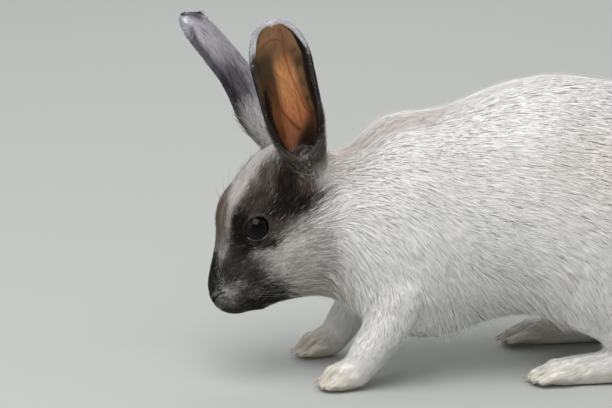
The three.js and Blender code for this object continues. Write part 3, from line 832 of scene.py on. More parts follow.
def earPoints(place, at, across, out=0.0):
    # points 0 to 1 along the ear and -1 to 1 across it, set out from its middle towards its back
    spine = earSpine(place)
    knots = np.linspace(0, 1, len(spine))
    centre = readLine(at, knots, spine)
    along = unit(readLine(at, knots, unit(np.gradient(spine, axis=0))))
    opening = np.array(place["opening"])
    front = unit(opening - along * (along @ opening)[..., None])
    sideways = np.cross(along, front)
    shares, widths, curls = np.array(earProfile).T
    blur = np.linspace(-0.04, 0.04, 9)
    width, curl = (np.mean([np.interp(at + shift, shares, values) for shift in blur], axis=0)
                   for values in (widths, curls))
    rolled = np.minimum(curl + place["roll"] * fade(at, 0.3, 0.55), 177)
    width = width * curl / np.sin(np.radians(np.minimum(curl, 90)))
    width = width * np.sin(np.radians(np.minimum(rolled, 90))) / rolled
    blunt = place["blunt"]
    width = width * (place["foot"] + (1 - place["foot"]) * fade(at, 0.3, 0.6))
    width = width * np.sqrt(np.clip(1 - np.clip((at - blunt) / (1 - blunt), 0, 1) ** 2.3, 0.0005, 1))
    curl = np.radians(rolled)
    radius = width * earShape["width"] / np.sin(np.minimum(curl, math.pi / 2))
    angle = curl * across
    rim = radius + out
    forward = radius * 0.5 * np.minimum(1, at / 0.4)
    beyond = np.maximum(at - 1, 0) * earShape["length"] * (earShape["lower"] + earShape["upper"])
    points = (centre + along * beyond[..., None] + front * (forward - rim * np.cos(angle))[..., None]
              + sideways * (rim * np.sin(angle))[..., None])
    return points, along, unit(sideways * np.sin(angle)[..., None] - front * np.cos(angle)[..., None])


def rimGap(place, points):
    # how far points lie from the ear's rim, in millimetres
    at = 0.25 + 0.75 * np.sin(np.linspace(0, math.pi / 2, 160))
    rim = np.concatenate([earPoints(place, at, np.full(len(at), edge))[0] for edge in (-1.0, 1.0)])
    tree = kdTreeOf(rim)
    return np.array([tree.find(spot)[2] for spot in points.tolist()]) / mm


# the main veins, as places across (-1 to 1) and along (0 to 1)
veinLines = [
    [(0.3, 0.47), (0.29, 0.52), (0.26, 0.58), (0.17, 0.67), (0.14, 0.78), (0.24, 0.85)],
    [(0.02, 0.34), (-0.12, 0.41), (-0.3, 0.49), (-0.42, 0.57), (-0.5, 0.66)],
    [(-0.75, 0.83), (-0.5, 0.855), (-0.25, 0.87), (0.05, 0.865), (0.26, 0.84), (0.3, 0.93)],
]


def veinTree(seed):
    # branching lines over the inner skin, as segments across and along it, with a strength
    rng = np.random.default_rng(seed)
    segments = []

    def branch(x, y, heading, length, strength):
        steps = max(3, int(length / 0.03))
        for _ in range(steps):
            heading += rng.normal(0, 0.13)
            nextX = x + math.sin(heading) * length / steps * 2.2
            nextY = y + math.cos(heading) * length / steps
            if abs(nextX) > 0.93 or nextY > 0.97:
                return
            segments.append((x, y, nextX, nextY, strength))
            x, y = nextX, nextY
            if strength > 0.25 and rng.random() < 0.42:
                turn = rng.choice((-1, 1)) * rng.uniform(0.5, 1)
                branch(x, y, heading + turn, length * rng.uniform(0.25, 0.5), strength * 0.62)

    for line in veinLines:
        segments += [(*start, *end, 1.0) for start, end in zip(line, line[1:])]
    branch(0.12, 0.4, 0.1, 0.5, 0.7)
    branch(0.5, 0.3, 0.02, 0.55, 0.6)
    return np.array(segments)


def paintVeins(at, across, seed):
    segments = veinTree(seed)
    scale = np.array((earShape["width"] * 0.55, earShape["length"] * 1.2)) / mm
    spots = np.stack([across, at], 1) * scale
    starts, ends = segments[:, :2] * scale, segments[:, 2:4] * scale
    shown = np.zeros(len(spots))
    for start, end, strength in zip(starts, ends, segments[:, 4]):
        run = end - start
        share = np.clip(((spots - start) @ run) / (run @ run + 1e-9), 0, 1)
        gap = np.linalg.norm(spots - start - share[:, None] * run, axis=1)
        shown = np.maximum(shown, strength * np.exp(-(gap / (0.3 + 0.35 * strength)) ** 2))
    return shown


def makeEar(label, outer, inner):
    place = earPlaces[label]
    ear = addPiece("ear_skin_" + label, bpy.ops.mesh.primitive_grid_add, size=2,
                   x_subdivisions=earShape["columns"], y_subdivisions=earShape["rows"])
    flat = placesOf(ear)
    across, at = -flat[:, 0], 0.03 + 0.97 * np.sin(math.pi / 2 * (flat[:, 1] + 1) / 2)
    points, along, outwards = earPoints(place, at, across)
    ripple = 0.35 * mm * np.sin(at * 31 + across * 3) * np.abs(across) ** 3
    rimTurn = earShape["turnOut"] * fade(np.abs(across), 0.86, 1) * fade(at, 0.2, 0.4)
    setPlaces(ear, points + outwards * (ripple + rimTurn)[:, None])
    addAttributes(ear, alongEar=at, acrossEar=across, paleRim=np.full(len(at), place["rim"]),
                  rimGap=rimGap(place, points), vein=paintVeins(at, across, place["veins"]))
    ear.data.uv_layers[0].name = "OFBake"
    for material in (outer, inner):
        ear.data.materials.append(material)
    modify(ear, "SOLIDIFY", thickness=earShape["thickness"], offset=0, use_even_offset=False,
           material_offset=1, material_offset_rim=0)
    smoothShade(ear)
    return ear


def earInnerMaterial():
    material, shader, wires = newMaterial(
        "ear_inner_skin", Roughness=0.5, Specular_IOR_Level=0.35, Subsurface_Weight=0.15,
        Subsurface_Radius=(3 * mm, 1.2 * mm, 0.8 * mm), Subsurface_Scale=1)
    names = "alongEar", "acrossEar", "vein", "rimGap"
    at, across, vein, gap = (attribute(wires, name) for name in names)
    place = objectPlace(wires)
    mottle = place.noise(150, 6)
    fine = joined(across * 26, at * 16).noise(1, 4)
    grain = (mottle - 0.5) * 0.9 + (fine - 0.5) * 0.4
    colour = (mottle + fine * 0.3).step(0.5, 0.75).between("#513a22", "#84603a")
    left = 0 - across
    # painted shade over the upper left part of the inner ear
    paintedLeftShade = (left + grain * 0.5).step(0.05, 0.5) * (at + grain * 0.1).step(0.46, 0.64)
    colour = colour.over(paintedLeftShade * 0.9, "#46321d")
    colour = colour.over(left.step(0.1, 0.3) * (1 - at.step(0.46, 0.6)), "#8a5636")
    colour = colour.over(at.step(0.76, 0.88) * (mottle * 0.7 + 0.45), "#b88961")
    # a bright strip runs up the middle and narrows towards the root; its orange is the skin's own, painted
    # brighter to stand for light shining through the ear
    shift = across + 0.24 - at.step(0.2, 0.5) * 0.28
    width = at.step(0.2, 0.46) * 0.2 + 0.05
    beside = abs(shift) - width + grain * 0.2
    height = at + grain * 0.08
    band = at.step(0.3, 0.44).between("#ffa880", "#ee9c66")
    band = band.over(at.step(0.45, 0.62), "#eba667")
    colour = colour.over(beside.step(0.17, -0.1) * (1 - height.step(0.66, 0.84)), band)
    colour = colour.over(fine.step(0.5, 0.7) * 0.35, "#5f432d")
    colour = colour.over(vein * 0.75, "#8c3524")
    rightEdge = (across + grain * 0.2 - at.step(0.62, 0.92) * 0.35).step(0.56, 0.7)
    leftEdge = (left + grain * 0.2 - at.step(0.36, 0.68) * 0.45).step(0.48, 0.62)
    # painted shade deep in the ear's opening, on either side of the strip near the root
    funnelShadeRight = (shift - width + grain * 0.22).step(0, 0.2) * (1 - height.step(0.3, 0.46))
    funnelShadeLeft = (0 - shift - width + grain * 0.22).step(0.02, 0.22) * (1 - height.step(0.24, 0.4))
    colour = colour.over(largest(funnelShadeRight, funnelShadeLeft) * 0.92, "#4d3a2c")
    colour = colour.over(largest(rightEdge, leftEdge) * 0.92, "#211a15")
    ragged = gap + grain * 4
    colour = colour.over(ragged.step(4.6, 2.6) * at.step(0.66, 0.8) * 0.85, "#2b2820")
    white = (gap + across * 0.6 + (fine - 0.5) * 2).step(2.5, 1.5) * at.step(0.8, 0.88)
    colour = colour.over(white * attribute(wires, "paleRim"), "#f8f7fa")
    feed(shader, "Base Color", colour)
    feedBump(shader, vein * 0.6 + mottle * 0.5, 0.5, 0.4)
    return material


def earColour(wires, place, tone):
    # the head's own marks at the foot, grey with black-tipped hair above, and white along the rim
    at, across, paleRim = (attribute(wires, name) for name in ("alongEar", "acrossEar", "paleRim"))
    streaks = joined(across * 17, at * 12).noise(1, 6)
    grey = (streaks + tone * 0.14).step(0.22, 0.66).between("#3b373b", "#dcd7df")
    farEar = (1 - paleRim).step(0.2, 0.6)
    low = (across + tone * 0.15 + streaks * 0.5).step(0.35, 0.8)
    low = low * at.step(0.34, 0.46) * (1 - at.step(0.62, 0.8))
    grey = grey.over(low * farEar * 0.8, "#39363a")
    grey = grey.over(at.step(0.62, 0.76) * farEar * 0.4, "#d8d3db")
    tip = (1 - abs(across + 0.4).step(0.4, 0.8)) * (at + tone * 0.02).step(0.88, 0.93)
    grey = grey.over(tip * farEar * 0.9, "#3f3c41")
    foot = (at + tone * 0.03 + (streaks - 0.5) * 0.12).step(0.32, 0.5)
    colour = markings(wires, place, tone).over(foot, grey)
    edge = abs(across)
    low = (edge + tone * 0.1).step(0.3, 0.65) * (1 - (at + tone * 0.03).step(0.44, 0.58))
    brown = (streaks + tone * 0.25).step(0.25, 0.8).between("#2b211a", "#665548")
    colour = colour.over(low * at.step(0.1, 0.22) * paleRim * 0.9, brown)
    border = (edge + tone * 0.05).step(0.72, 0.95) * (1 - at.step(0.9, 0.98) * 0.5)
    colour = colour.over(border * farEar * 0.8, "#353135")
    rim = (edge + tone * 0.03).step(0.8, 0.92)
    colour = colour.over(rim * at.step(0.3, 0.4) * paleRim.step(0.4, 0.9) * 0.92, "#2a221c")
    crest = largest((edge + tone * 0.05).step(0.6, 0.8), at.step(0.89, 0.94))
    white = largest(crest * (at + tone * 0.04).step(0.76, 0.85), rim * tone.step(0.75, 1.1) * 0.6)
    return colour.over(white * paleRim.step(0.2, 0.9) * 0.97, "#f8f7fa")


def earOuterMaterial():
    material, shader, wires = newMaterial("ear_outer_skin", Roughness=0.85, Specular_IOR_Level=0.25)
    place = objectPlace(wires)
    tone = place.noise(900, 2) * 2 - 1
    feed(shader, "Base Color", earColour(wires, place, tone))
    return material


earOuter, earInner = earOuterMaterial(), earInnerMaterial()
ears = {label: makeEar(label, earOuter, earInner) for label in sides}
for label, ear in ears.items():
    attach(ear, "root")
    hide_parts("ear_" + label)
print("ears made")

# The coat: thin closed locks that follow the skin, clumped at their tips
coatShape = {"seed": 11, "locks": 16, "clump": 0.24, "tufts": 80, "sway": 0.13, "bend": 0.06, "ridge": 0.4,
             "roundness": 0.06, "rootDepth": 0.3 * mm, "overFloor": 0.25 * mm, "patch": 0.003,
             "bareLid": 1.4 * mm, "bareSole": 1.6 * mm, "quickShare": 0.4, "quickWidth": 1.5,
             "headSway": 1.6, "headWisps": {"face_left": 0.1, "face_right": 0.1, "crown": 0.16},
             "bodyWisps": 0.045, "wispLift": 2.6, "wispWidth": 0.6}
rng = np.random.default_rng(coatShape["seed"])


def followSkin(tree, roots, normals, lie, length, lift, steps):
    # each hair's line as it runs over the skin, and the skin's direction under it
    lines, outwards = [roots - normals * coatShape["rootDepth"]], [normals]
    foot, way = roots.copy(), lie
    for step in range(1, steps + 1):
        ahead = foot + way * (length / steps)[:, None]
        found = [tree.find_nearest(spot) for spot in ahead.tolist()]
        foot = np.array([hit[0] for hit in found])
        normal = np.array([hit[1] for hit in found])
        way = alongside(0.5 * way + 0.5 * unit(coatAt(foot)[0]), normal)
        rise = lift * (step / steps) ** 0.65
        lines.append(foot + normal * rise[:, None])
        outwards.append(normal)
    return np.array(lines), np.array(outwards)


def clumpLines(lines, roots, perLock, amount):
    # tips lean towards the tip of the lock's own middle hair
    centres = rng.choice(len(roots), max(1, len(roots) // perLock), replace=False)
    tree = kdTreeOf(roots[centres])
    leader = centres[[tree.find(spot)[1] for spot in roots.tolist()]]
    steps = len(lines) - 1
    for step in range(1, steps + 1):
        pull = amount * (step / steps) ** 1.3
        lines[step] += (lines[step][leader] - lines[step]) * pull[:, None]
    return lines


def makeCoat(name, lines, outwards, width, roots, uv, material, contrast=0.5, faceted=False, **attributes):
    # one mesh of closed three-sided locks: flat underneath, a low ridge on top
    steps, count = len(lines) - 1, lines.shape[1]
    tone = rng.normal(0, contrast, count)
    taper = np.interp(np.arange(steps) / steps, (0, 0.35, 1), (0.75, 1, 0.35))
    vertices, normals, reach = [], [], []
    for step in range(steps):
        ahead = unit(lines[step + 1] - lines[max(step - 1, 0)])
        out = alongside(outwards[step], ahead)
        across = np.cross(ahead, out)
        half = (width * taper[step] / 2)[:, None]
        for sideways, up in ((-1, 0), (1, 0), (0, coatShape["ridge"])):
            vertices.append(lines[step] + across * half * sideways + out * half * up)
            normals.append(unit(out + across * sideways * coatShape["roundness"]))
            reach.append(step / steps)
    vertices.append(lines[-1])
    normals.append(outwards[-1])
    reach.append(1)
    each = len(vertices)
    vertices, normals = (np.stack(rows, 1).reshape(-1, 3) for rows in (vertices, normals))
    vertices[:, 2] = np.maximum(vertices[:, 2], coatShape["overFloor"])
    triangles = [(0, 1, 2)]
    for step in range(steps - 1):
        a, b = 3 * step, 3 * step + 3
        for i in range(3):
            k = (i + 1) % 3
            triangles += [(a + i, b + i, a + k), (a + k, b + i, b + k)]
    a, tip = 3 * (steps - 1), each - 1
    triangles += [(a + i, tip, a + (i + 1) % 3) for i in range(3)]
    corners = (np.array(triangles)[None] + (np.arange(count) * each)[:, None, None]).reshape(-1, 3)
    mesh = bpy.data.meshes.new(name)
    mesh.vertices.add(len(vertices))
    mesh.vertices.foreach_set("co", vertices.ravel())
    mesh.loops.add(corners.size)
    mesh.loops.foreach_set("vertex_index", corners.ravel())
    mesh.polygons.add(len(corners))
    mesh.polygons.foreach_set("loop_start", np.arange(0, corners.size, 3))
    mesh.polygons.foreach_set("use_smooth", np.full(len(corners), not faceted))
    mesh.update()
    if not faceted:
        mesh.normals_split_custom_set_from_vertices(normals)
    coat = bpy.data.objects.new(name, mesh)
    bpy.context.scene.collection.objects.link(coat)
    reach = np.array(reach)
    patch = np.stack([np.arange(each) % 3 / 2 - 0.5, reach - 0.5], 1) * coatShape["patch"]
    spread = (uv[:, None] + patch[None]).reshape(-1, 2)[corners.ravel()]
    mesh.uv_layers.new(name="OFBake").data.foreach_set("uv", spread.astype(np.float32).ravel())
    attributes = {key: np.repeat(values, each) for key, values in attributes.items()}
    addAttributes(coat, rootPlace=np.repeat(roots, each, 0), tone=np.repeat(tone, each),
                  reach=np.tile(reach, count), **attributes)
    mesh.materials.append(material)
    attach(coat, "root")
    print(name, len(corners), "triangles")
    return coat


class Surface:
    # a mesh's triangles, to set roots on
    def __init__(self, item):
        mesh = item.data
        mesh.calc_loop_triangles()
        self.corners = readAll(mesh.loop_triangles, "vertices", 3, int)
        self.loops = readAll(mesh.loop_triangles, "loops", 3, int)
        self.places, self.normals = placesOf(item), normalsOf(item)
        self.uv = readAll(mesh.uv_layers["OFBake"].data, "uv", 2, np.float32)
        a, b, c = (self.places[self.corners[:, i]] for i in range(3))
        self.areas = np.linalg.norm(np.cross(b - a, c - a), axis=1) / 2
        self.middles = (a + b + c) / 3

    def scatter(self, weight, total):
        # roots, the directions out there and their spots on the unwrap
        picked = rng.choice(len(weight), total, p=weight / weight.sum())
        shares = rng.random((total, 2))
        shares[shares.sum(1) > 1] = 1 - shares[shares.sum(1) > 1]
        bary = np.column_stack([1 - shares.sum(1), shares])[..., None]
        tables = (self.places, self.corners), (self.normals, self.corners), (self.uv, self.loops)
        places, normals, uv = ((bary * values[index[picked]]).sum(1) for values, index in tables)
        return places, unit(normals), uv


def coveredPart(places):
    # no hair where the skin shows: the eyes, the lids' edges and the nostrils, nor under the soles
    bare = np.zeros(len(places), bool)
    for label in sides:
        _, inFront, beyond = roundEye(places, label)
        bare |= inFront & (beyond < coatShape["bareLid"])
    return ~bare & (places[:, 2] >= coatShape["bareSole"])


surface = Surface(skin)
_, length, _, width = coatAt(surface.middles)
hairShare = surface.areas * coveredPart(surface.middles) / (length * width)
inBody = (surface.middles - shoulders) / mm
headSpots = inHead(surface.middles)
regionEdges = {"face": 58, "withers": -50, "feet": 26}
bodyRegions = {  # where each starts and ends along the body, and its number of hairs
    "crown": (-math.inf, regionEdges["withers"], 11000), "neck": (regionEdges["withers"], -8, 16500),
    "shoulder": (-8, 40, 19500), "flank": (40, 90, 19500), "rump": (90, 135, 17500),
    "tail": (135, math.inf, 9000),
}
along = inBody[:, 0]
onFace = (headSpots[:, 0] < regionEdges["face"]) & (along < regionEdges["withers"])
onFeet = (inBody[:, 2] < regionEdges["feet"]) & ~onFace
regions = {"face_left": (onFace & (headSpots[:, 1] < 0), 13000),
           "face_right": (onFace & (headSpots[:, 1] >= 0), 9500)}
for name, (front, rear, total) in bodyRegions.items():
    regions[name] = (~onFace & ~onFeet & (along >= front) & (along < rear), total)
regions["feet"] = (onFeet, 9000)
skinTree = treeOf(skin)
coatHair = coatMaterial("coat_hair", markings, 0.95)
for name, (inside, total) in regions.items():
    roots, normals, uv = surface.scatter(hairShare * inside, total)
    lie, length, lift, width = coatAt(roots)
    lie = alongside(lie, normals)
    sway = coatShape["sway"] * (coatShape["headSway"] if name in coatShape["headWisps"] else 1)
    lie = unit(lie + np.cross(normals, lie) * rng.normal(0, sway, total)[:, None])
    length = length * rng.uniform(0.75, 1.15, total)
    wisp = rng.random(total) < coatShape["headWisps"].get(name, coatShape["bodyWisps"])
    lift = lift * rng.uniform(0.6, 1.1, total) * np.where(wisp, coatShape["wispLift"], 1)
    width = width * rng.uniform(0.75, 1.2, total) * 1
    width = width * np.where(wisp, coatShape["wispWidth"], 1)
    lines, outwards = followSkin(skinTree, roots, normals, lie, length, lift, 2)
    lines[2] += np.cross(lie, normals) * (length * rng.normal(0, coatShape["bend"], total))[:, None]
    low = fade(-roots[:, 2], -135 * mm, -75 * mm)
    amount = coatShape["clump"] * fade(length, 3 * mm, 12 * mm) * (0.8 + 0.5 * low) * ~wisp
    lines = clumpLines(lines, roots, coatShape["locks"], amount)
    lines = clumpLines(lines, roots, coatShape["tufts"], amount * low * 0.6)
    coat = makeCoat("coat_" + name, lines, outwards, width, roots, uv, coatHair)
    "face_coat" if name in ("face_left", "face_right", "crown") else "body_coat"
print("coat grown")

# Ear hair follows each ear from its root to its tip
earHair = {  # the number of hairs, their run as shares of the ear, and their lift and width in mm
    "back": (5400, (0.03, 0.055), (0.5, 1.1), (0.3, 0.55)),
    "foot": (2900, (0.05, 0.1), (1, 3.6), (0.35, 0.6)),
    "inside": (1300, (0.04, 0.07), (0.4, 1.2), (0.35, 0.6)),
}
fringeShape = {"count": 1700, "length": (1.2, 2.6), "width": (0.35, 0.6),
               "bands": {"front": (0.2, 0.9, 2.6), "rear": (0.2, 0.6, 2.6)}}


def earSpots(kind, count):
    # where the hairs of one kind stand, along and across the ear
    if kind == "back":
        return rng.uniform(0.08, 0.97, count), rng.uniform(-1, 1, count)
    if kind == "foot":
        return rng.uniform(0.02, 0.44, count), rng.choice((-1, 1), count) * rng.uniform(0, 1, count) ** 0.6
    edge = rng.choice((-1, 1), count)
    at = rng.uniform(0.12, np.where(edge < 0, 0.6, 0.86), count)
    depth = rng.uniform(0, 1, count) * np.interp(at, (0.12, 0.45, 0.86), (0.6, 0.2, 0.08))
    return at, edge * (0.9 - depth)


def earHairLines(place, at, across, reach, turnOut, offset, lift, steps):
    # lines that start at a spot on the ear and run towards its tip
    lines, outwards = [], []
    for step in range(steps + 1):
        share = step / steps
        points, _, out = earPoints(place, at + reach * share, across + turnOut * share,
                                   offset + lift * share ** 0.65 * np.sign(offset))
        lines.append(points)
        outwards.append(out * np.sign(offset)[:, None])
    return np.array(lines), np.array(outwards)


def rimLine(place, edge, count):
    # places spread evenly along one edge of the ear up to its tip, and the directions there
    at = 0.37 + 0.63 * np.sin(np.linspace(0, math.pi / 2, 400))
    points, _, normals = earPoints(place, at, np.full(400, float(edge)))
    run = runOf(points)
    spot = rng.uniform(0, run[-1], count)
    onwards = unit(readLine(spot, run, unit(np.gradient(points, axis=0))))
    normals = unit(readLine(spot, run, normals))
    away = unit(np.cross(onwards, normals)) * edge
    return np.interp(spot, run, at), readLine(spot, run, points), normals, away, onwards


def earUv(at, across):
    return np.stack([(1 - across) / 2, np.arcsin(np.clip((at - 0.03) / 0.97, 0, 1)) / (math.pi / 2)], 1)


def earHairColour(wires, place, tone):
    # hairs inside the ear are dark: partly their own colour, partly painted shade inside the ear
    inside = attribute(wires, "insideEar")
    return earColour(wires, place, tone).over(inside, "#2a221e")


earHairMaterial = coatMaterial("ear_hair", earHairColour)
wall = earShape["thickness"] / 2
for label, place in earPlaces.items():
    groups = []
    for kind, (count, reach, lift, width) in earHair.items():
        at, across = earSpots(kind, count)
        sway = 0.06 + 0.1 * place["rim"] if kind == "foot" else 0.05
        within = kind == "inside"
        groups.append((at, across, rng.uniform(*reach, count), rng.normal(0, sway, count),
                       np.full(count, wall * (-0.9 if within else 0.9)), rng.uniform(*lift, count) * mm,
                       rng.uniform(*width, count) * mm, np.full(count, float(within))))
    *starts, width, inside = (np.concatenate(rows) for rows in zip(*groups))
    at, across = starts[:2]
    lines, outwards = earHairLines(place, *starts, 2)
    coat = makeCoat("coat_ear_" + label, lines, outwards, width, lines[0], earUv(at, across),
                    earHairMaterial, alongEar=at, acrossEar=across, insideEar=inside,
                    paleRim=np.full(len(at), place["rim"]))

    # a fringe stands out from the rim and leans towards the tip
    count = fringeShape["count"]
    for edge, edgeName in ((-1, "front"), (1, "rear")):
        at, roots, normals, beyond, onwards = rimLine(place, edge, count)
        face = normals * rng.choice((-1, 1), (count, 1))
        lean = (1 - fade(at, 0.9, 0.99))[:, None]
        way = unit(beyond + onwards * rng.uniform(0.1, 0.9, (count, 1)) * lean
                   + face * rng.uniform(0, 0.5, (count, 1)))
        length = rng.uniform(*fringeShape["length"], (count, 1)) * (1 + 0.5 * fade(at, 0.84, 0.95)[:, None])
        length = length * (1.9 - 0.9 * place["rim"]) * mm
        band = np.interp(at, (0.74, 0.84, 0.95), fringeShape["bands"][edgeName]) * place["rim"]
        inset = (rng.uniform(0, 1, count) * band)[:, None] * mm
        turned = earShape["turnOut"] * fade(-inset, -2.3 * mm, 0) * fade(at, 0.2, 0.4)[:, None]
        roots = roots - beyond * inset + normals * turned + face * wall * rng.uniform(0.6, 1, (count, 1))
        lines = np.array([roots + way * length * share for share in (-0.25, 0.4, 1)])
        lines[2] += onwards * length * 0.2 * lean
        across = np.full(count, float(edge))
        facing = unit(face + rng.normal(0, 0.25, (count, 3)))
        width = rng.uniform(*fringeShape["width"], count) * mm
        fringe = makeCoat("fringe_" + label + "_" + edgeName, lines, np.array([facing] * 3), width,
                          roots, earUv(at, across), earHairMaterial, faceted=True, alongEar=at,
                          acrossEar=across, insideEar=np.zeros(count),
                          paleRim=np.full(count, place["rim"]))
print("ear hair grown")

# Eyes: a clear bulge over a brown iris and a wide pupil
eyeballShape = {"segments": 72, "rings": 48, "bulge": 0.45 * mm, "pupil": 24, "iris": 50}
lidEdgeShape = {"around": 120, "section": 14, "wire": 0.1, "middle": 0.5, "halfWidth": 0.55,
                "halfHeight": 0.5 * mm, "overBall": 0.2 * mm}


def eyeMaterial():
    material, shader, wires = newMaterial("eye_gloss", Roughness=0.04, Specular_IOR_Level=0.13)
    angle = attribute(wires, "fromMiddle")
    streaks = joined(attribute(wires, "roundEye") * 9, angle * 0.06).noise(2.2, 4)
    colour = streaks.step(0.3, 0.75).between("#0b0605", "#170d08")
    colour = colour.over(angle.step(eyeballShape["iris"] - 12, eyeballShape["iris"]), "#080505")
    pupil = 1 - angle.step(eyeballShape["pupil"] - 2, eyeballShape["pupil"] + 7)
    feed(shader, "Base Color", colour.over(pupil, "#040303"))
    return material


def lidMaterial():
    material, shader, wires = newMaterial("lid_edge", Roughness=0.45, Specular_IOR_Level=0.5)
    place = objectPlace(wires)
    fine = place.noise(700, 3)
    inwards = attribute(wires, "inwards")
    colour = fine.step(0.3, 0.7).between("#5a5550", "#7b756f")
    colour = colour.over((1 - attribute(wires, "paleLid")) * 0.9, "#2e2724")
    feed(shader, "Base Color", colour.over(inwards.step(0.1, 0.7), "#17110f"))
    feedBump(shader, fine, 0.3, 0.2)
    return material


eyeGloss, lidEdge = eyeMaterial(), lidMaterial()
for label, side in sides.items():
    centre = eyeCentres[label]
    out, back, up = lidAxes(side)
    eyeball = addPiece("eyeball_" + label, bpy.ops.mesh.primitive_uv_sphere_add,
                       segments=eyeballShape["segments"], ring_count=eyeballShape["rings"],
                       radius=eyeShape["radius"])
    local = placesOf(eyeball)
    fromMiddle = np.degrees(np.arccos(np.clip(local[:, 2] / eyeShape["radius"], -1, 1)))
    local *= 1 + (eyeballShape["bulge"] / eyeShape["radius"]) * fade(-fromMiddle, -52, -10)[:, None]
    addAttributes(eyeball, fromMiddle=fromMiddle, roundEye=np.abs(np.arctan2(local[:, 1], local[:, 0])))
    setPlaces(eyeball, centre + local @ np.array([back, np.cross(out, back), out]))
    smoothShade(eyeball)
    eyeball.data.materials.append(eyeGloss)
    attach(eyeball, "root")
    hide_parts("eye_" + label)

    # the bare edge of the lids, as one band round the opening
    wire = lidEdgeShape["wire"]
    lid = addPiece("lid_edge_" + label, bpy.ops.mesh.primitive_torus_add,
                   major_segments=lidEdgeShape["around"], minor_segments=lidEdgeShape["section"],
                   major_radius=1, minor_radius=wire)
    local = placesOf(lid)
    angle = np.arctan2(local[:, 1], local[:, 0])
    outwards = (np.hypot(local[:, 0], local[:, 1]) - 1) / wire
    flat = lidOpening(angle) + (lidEdgeShape["middle"] + lidEdgeShape["halfWidth"] * outwards) * mm
    ball = eyeShape["radius"] + lidEdgeShape["overBall"]
    rise = ball * np.sqrt(np.maximum(1 - (flat / ball) ** 2, 0.05))
    rise += local[:, 2] / wire * lidEdgeShape["halfHeight"]
    setPlaces(lid, centre + back * (flat * np.cos(angle))[:, None] + up * (flat * np.sin(angle))[:, None]
              + out * rise[:, None])
    addAttributes(lid, inwards=-outwards, paleLid=fade(np.cos(angle - lidShape["palest"]), -0.35, 0.55))
    editAll(lid, bpy.ops.mesh.normals_make_consistent, inside=False)
    smoothShade(lid)
    lid.data.materials.append(lidEdge)
    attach(lid, "root")
print("eyes set")

# Claws keep their solids, rounded and given horn
def hornMaterial():
    material, shader, wires = newMaterial("claw_horn", Roughness=0.42, Specular_IOR_Level=0.5)
    place = objectPlace(wires)
    grain = place.scaled(300, 1500, 1500).noise(1, 3)
    colour = grain.step(0.3, 0.7).between("#8d7a68", "#b8a692")
    feed(shader, "Base Color", colour)
    feedBump(shader, grain, 0.2, 0.1)
    return material


horn = hornMaterial()
for name, node in cadNodes.items():
    if "claw" in name:
        node.data.materials.clear()
        node.data.materials.append(horn)
        weld = node.modifiers.new("weld", "WELD")
        weld.merge_threshold = weldGap
        rounding = node.modifiers.new("rounding", "SUBSURF")
        rounding.levels = rounding.render_levels = 2

# Whiskers and the long hairs over the eyes
whiskerShape = {"perSide": 15, "overEye": 3, "length": (22, 38), "width": 0.16 * mm, "steps": 7,
                "droop": 0.32}


def whiskerColour(wires, place, tone):
    return (tone * 0.5 + 0.5).step(0.2, 0.8).between("#1c1917", "#6f6a65")


whiskerMaterial = coatMaterial("whisker", whiskerColour, rootShade=0.8)
shares = np.linspace(0, 1, whiskerShape["steps"] + 1)[:, None]
stalks, widths = [], []
for side in sides.values():
    spots = [((rng.uniform(12, 22), side * 12, rng.uniform(-9, 1)),
              (rng.uniform(0.8, 1.5), side, rng.uniform(-0.7, 0.3)), rng.uniform(*whiskerShape["length"]))
             for _ in range(whiskerShape["perSide"])]
    spots += [((44 + 4 * i, side * 19, 32), (0.2 + 0.25 * i, side * 0.8, 0.6), 15 + 2 * i)
              for i in range(whiskerShape["overEye"])]
    for spot, lie, length in spots:
        hit = skinTree.find_nearest(onHead(*spot))
        start, normal = np.array(hit[0]), np.array(hit[1])
        way = unit(headAxes @ unit(np.array(lie)) * 0.8 + normal * 0.5)
        droop = unit(headAxes @ np.array((0.9, 0.1 * side, -0.5)))
        stalks.append(start - normal * 0.5 * mm + way * shares * length * mm
                      + droop * shares ** 2 * length * whiskerShape["droop"] * mm)
        widths.append(whiskerShape["width"] * rng.uniform(0.8, 1.2))
lines = np.array(stalks).transpose(1, 0, 2)
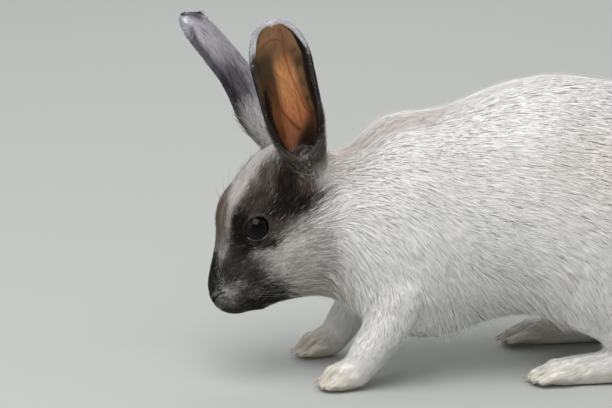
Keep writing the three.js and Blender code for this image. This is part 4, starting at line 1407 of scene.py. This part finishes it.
outwards = np.broadcast_to(unit(headAxes @ np.array((0, 0, 1.0))), lines.shape)
uv = np.column_stack([np.linspace(0.1, 0.9, len(stalks)), np.full(len(stalks), 0.5)])
whiskers = makeCoat("whiskers", lines, outwards, np.array(widths), lines[0], uv, whiskerMaterial,
                    contrast=1)
print("whiskers set")

# Camera, floor and lamps
cameraShape = {"aim": (-57, 0, 108), "azimuth": -8, "elevation": 15, "distance": 1.8, "lens": 174.7}
turn, tilt = (math.radians(cameraShape[name]) for name in ("azimuth", "elevation"))
backwards = Vector((math.sin(turn) * math.cos(tilt), -math.cos(turn) * math.cos(tilt), math.sin(tilt)))
camera = addPiece("camera", bpy.ops.object.camera_add,
                  location=Vector(onBody(*cameraShape["aim"])) + backwards * cameraShape["distance"],
                  rotation=backwards.to_track_quat("Z", "Y").to_euler())
camera.data.lens = cameraShape["lens"]
camera.data.clip_end = 50
bpy.context.scene.camera = camera

floorShape = {"size": 8, "colour": "#b9bbb7"}
floor = addPiece("floor", bpy.ops.mesh.primitive_plane_add, size=floorShape["size"])
paper, _, _ = newMaterial("floor_paper", Roughness=0.9, Base_Color=shade(floorShape["colour"]))
floor.data.materials.append(paper)
floor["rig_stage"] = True

lamps = [
    {"name": "key", "place": (-0.6, -0.95, 2.15), "size": 1.9, "power": 49},
    {"name": "front", "place": (-1.8, -0.3, 0.8), "size": 1.8, "power": 8},
    {"name": "back", "place": (0.3, 1.5, 1.4), "size": 1.6, "power": 10},
]
for lamp in lamps:
    away = Vector(lamp["place"])
    light = addPiece(lamp["name"], bpy.ops.object.light_add, type="AREA", location=away,
                     rotation=away.to_track_quat("Z", "Y").to_euler()).data
    light.size, light.energy = lamp["size"], lamp["power"]
skyShape = {"Color": shade("#dfe2e6"), "Strength": 0.44}
world = bpy.data.worlds.new("studio")
world.use_nodes = True
for socket, value in skyShape.items():
    world.node_tree.nodes["Background"].inputs[socket].default_value = value
bpy.context.scene.world = world
bpy.context.scene.view_settings.view_transform = "Standard"

low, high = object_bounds()
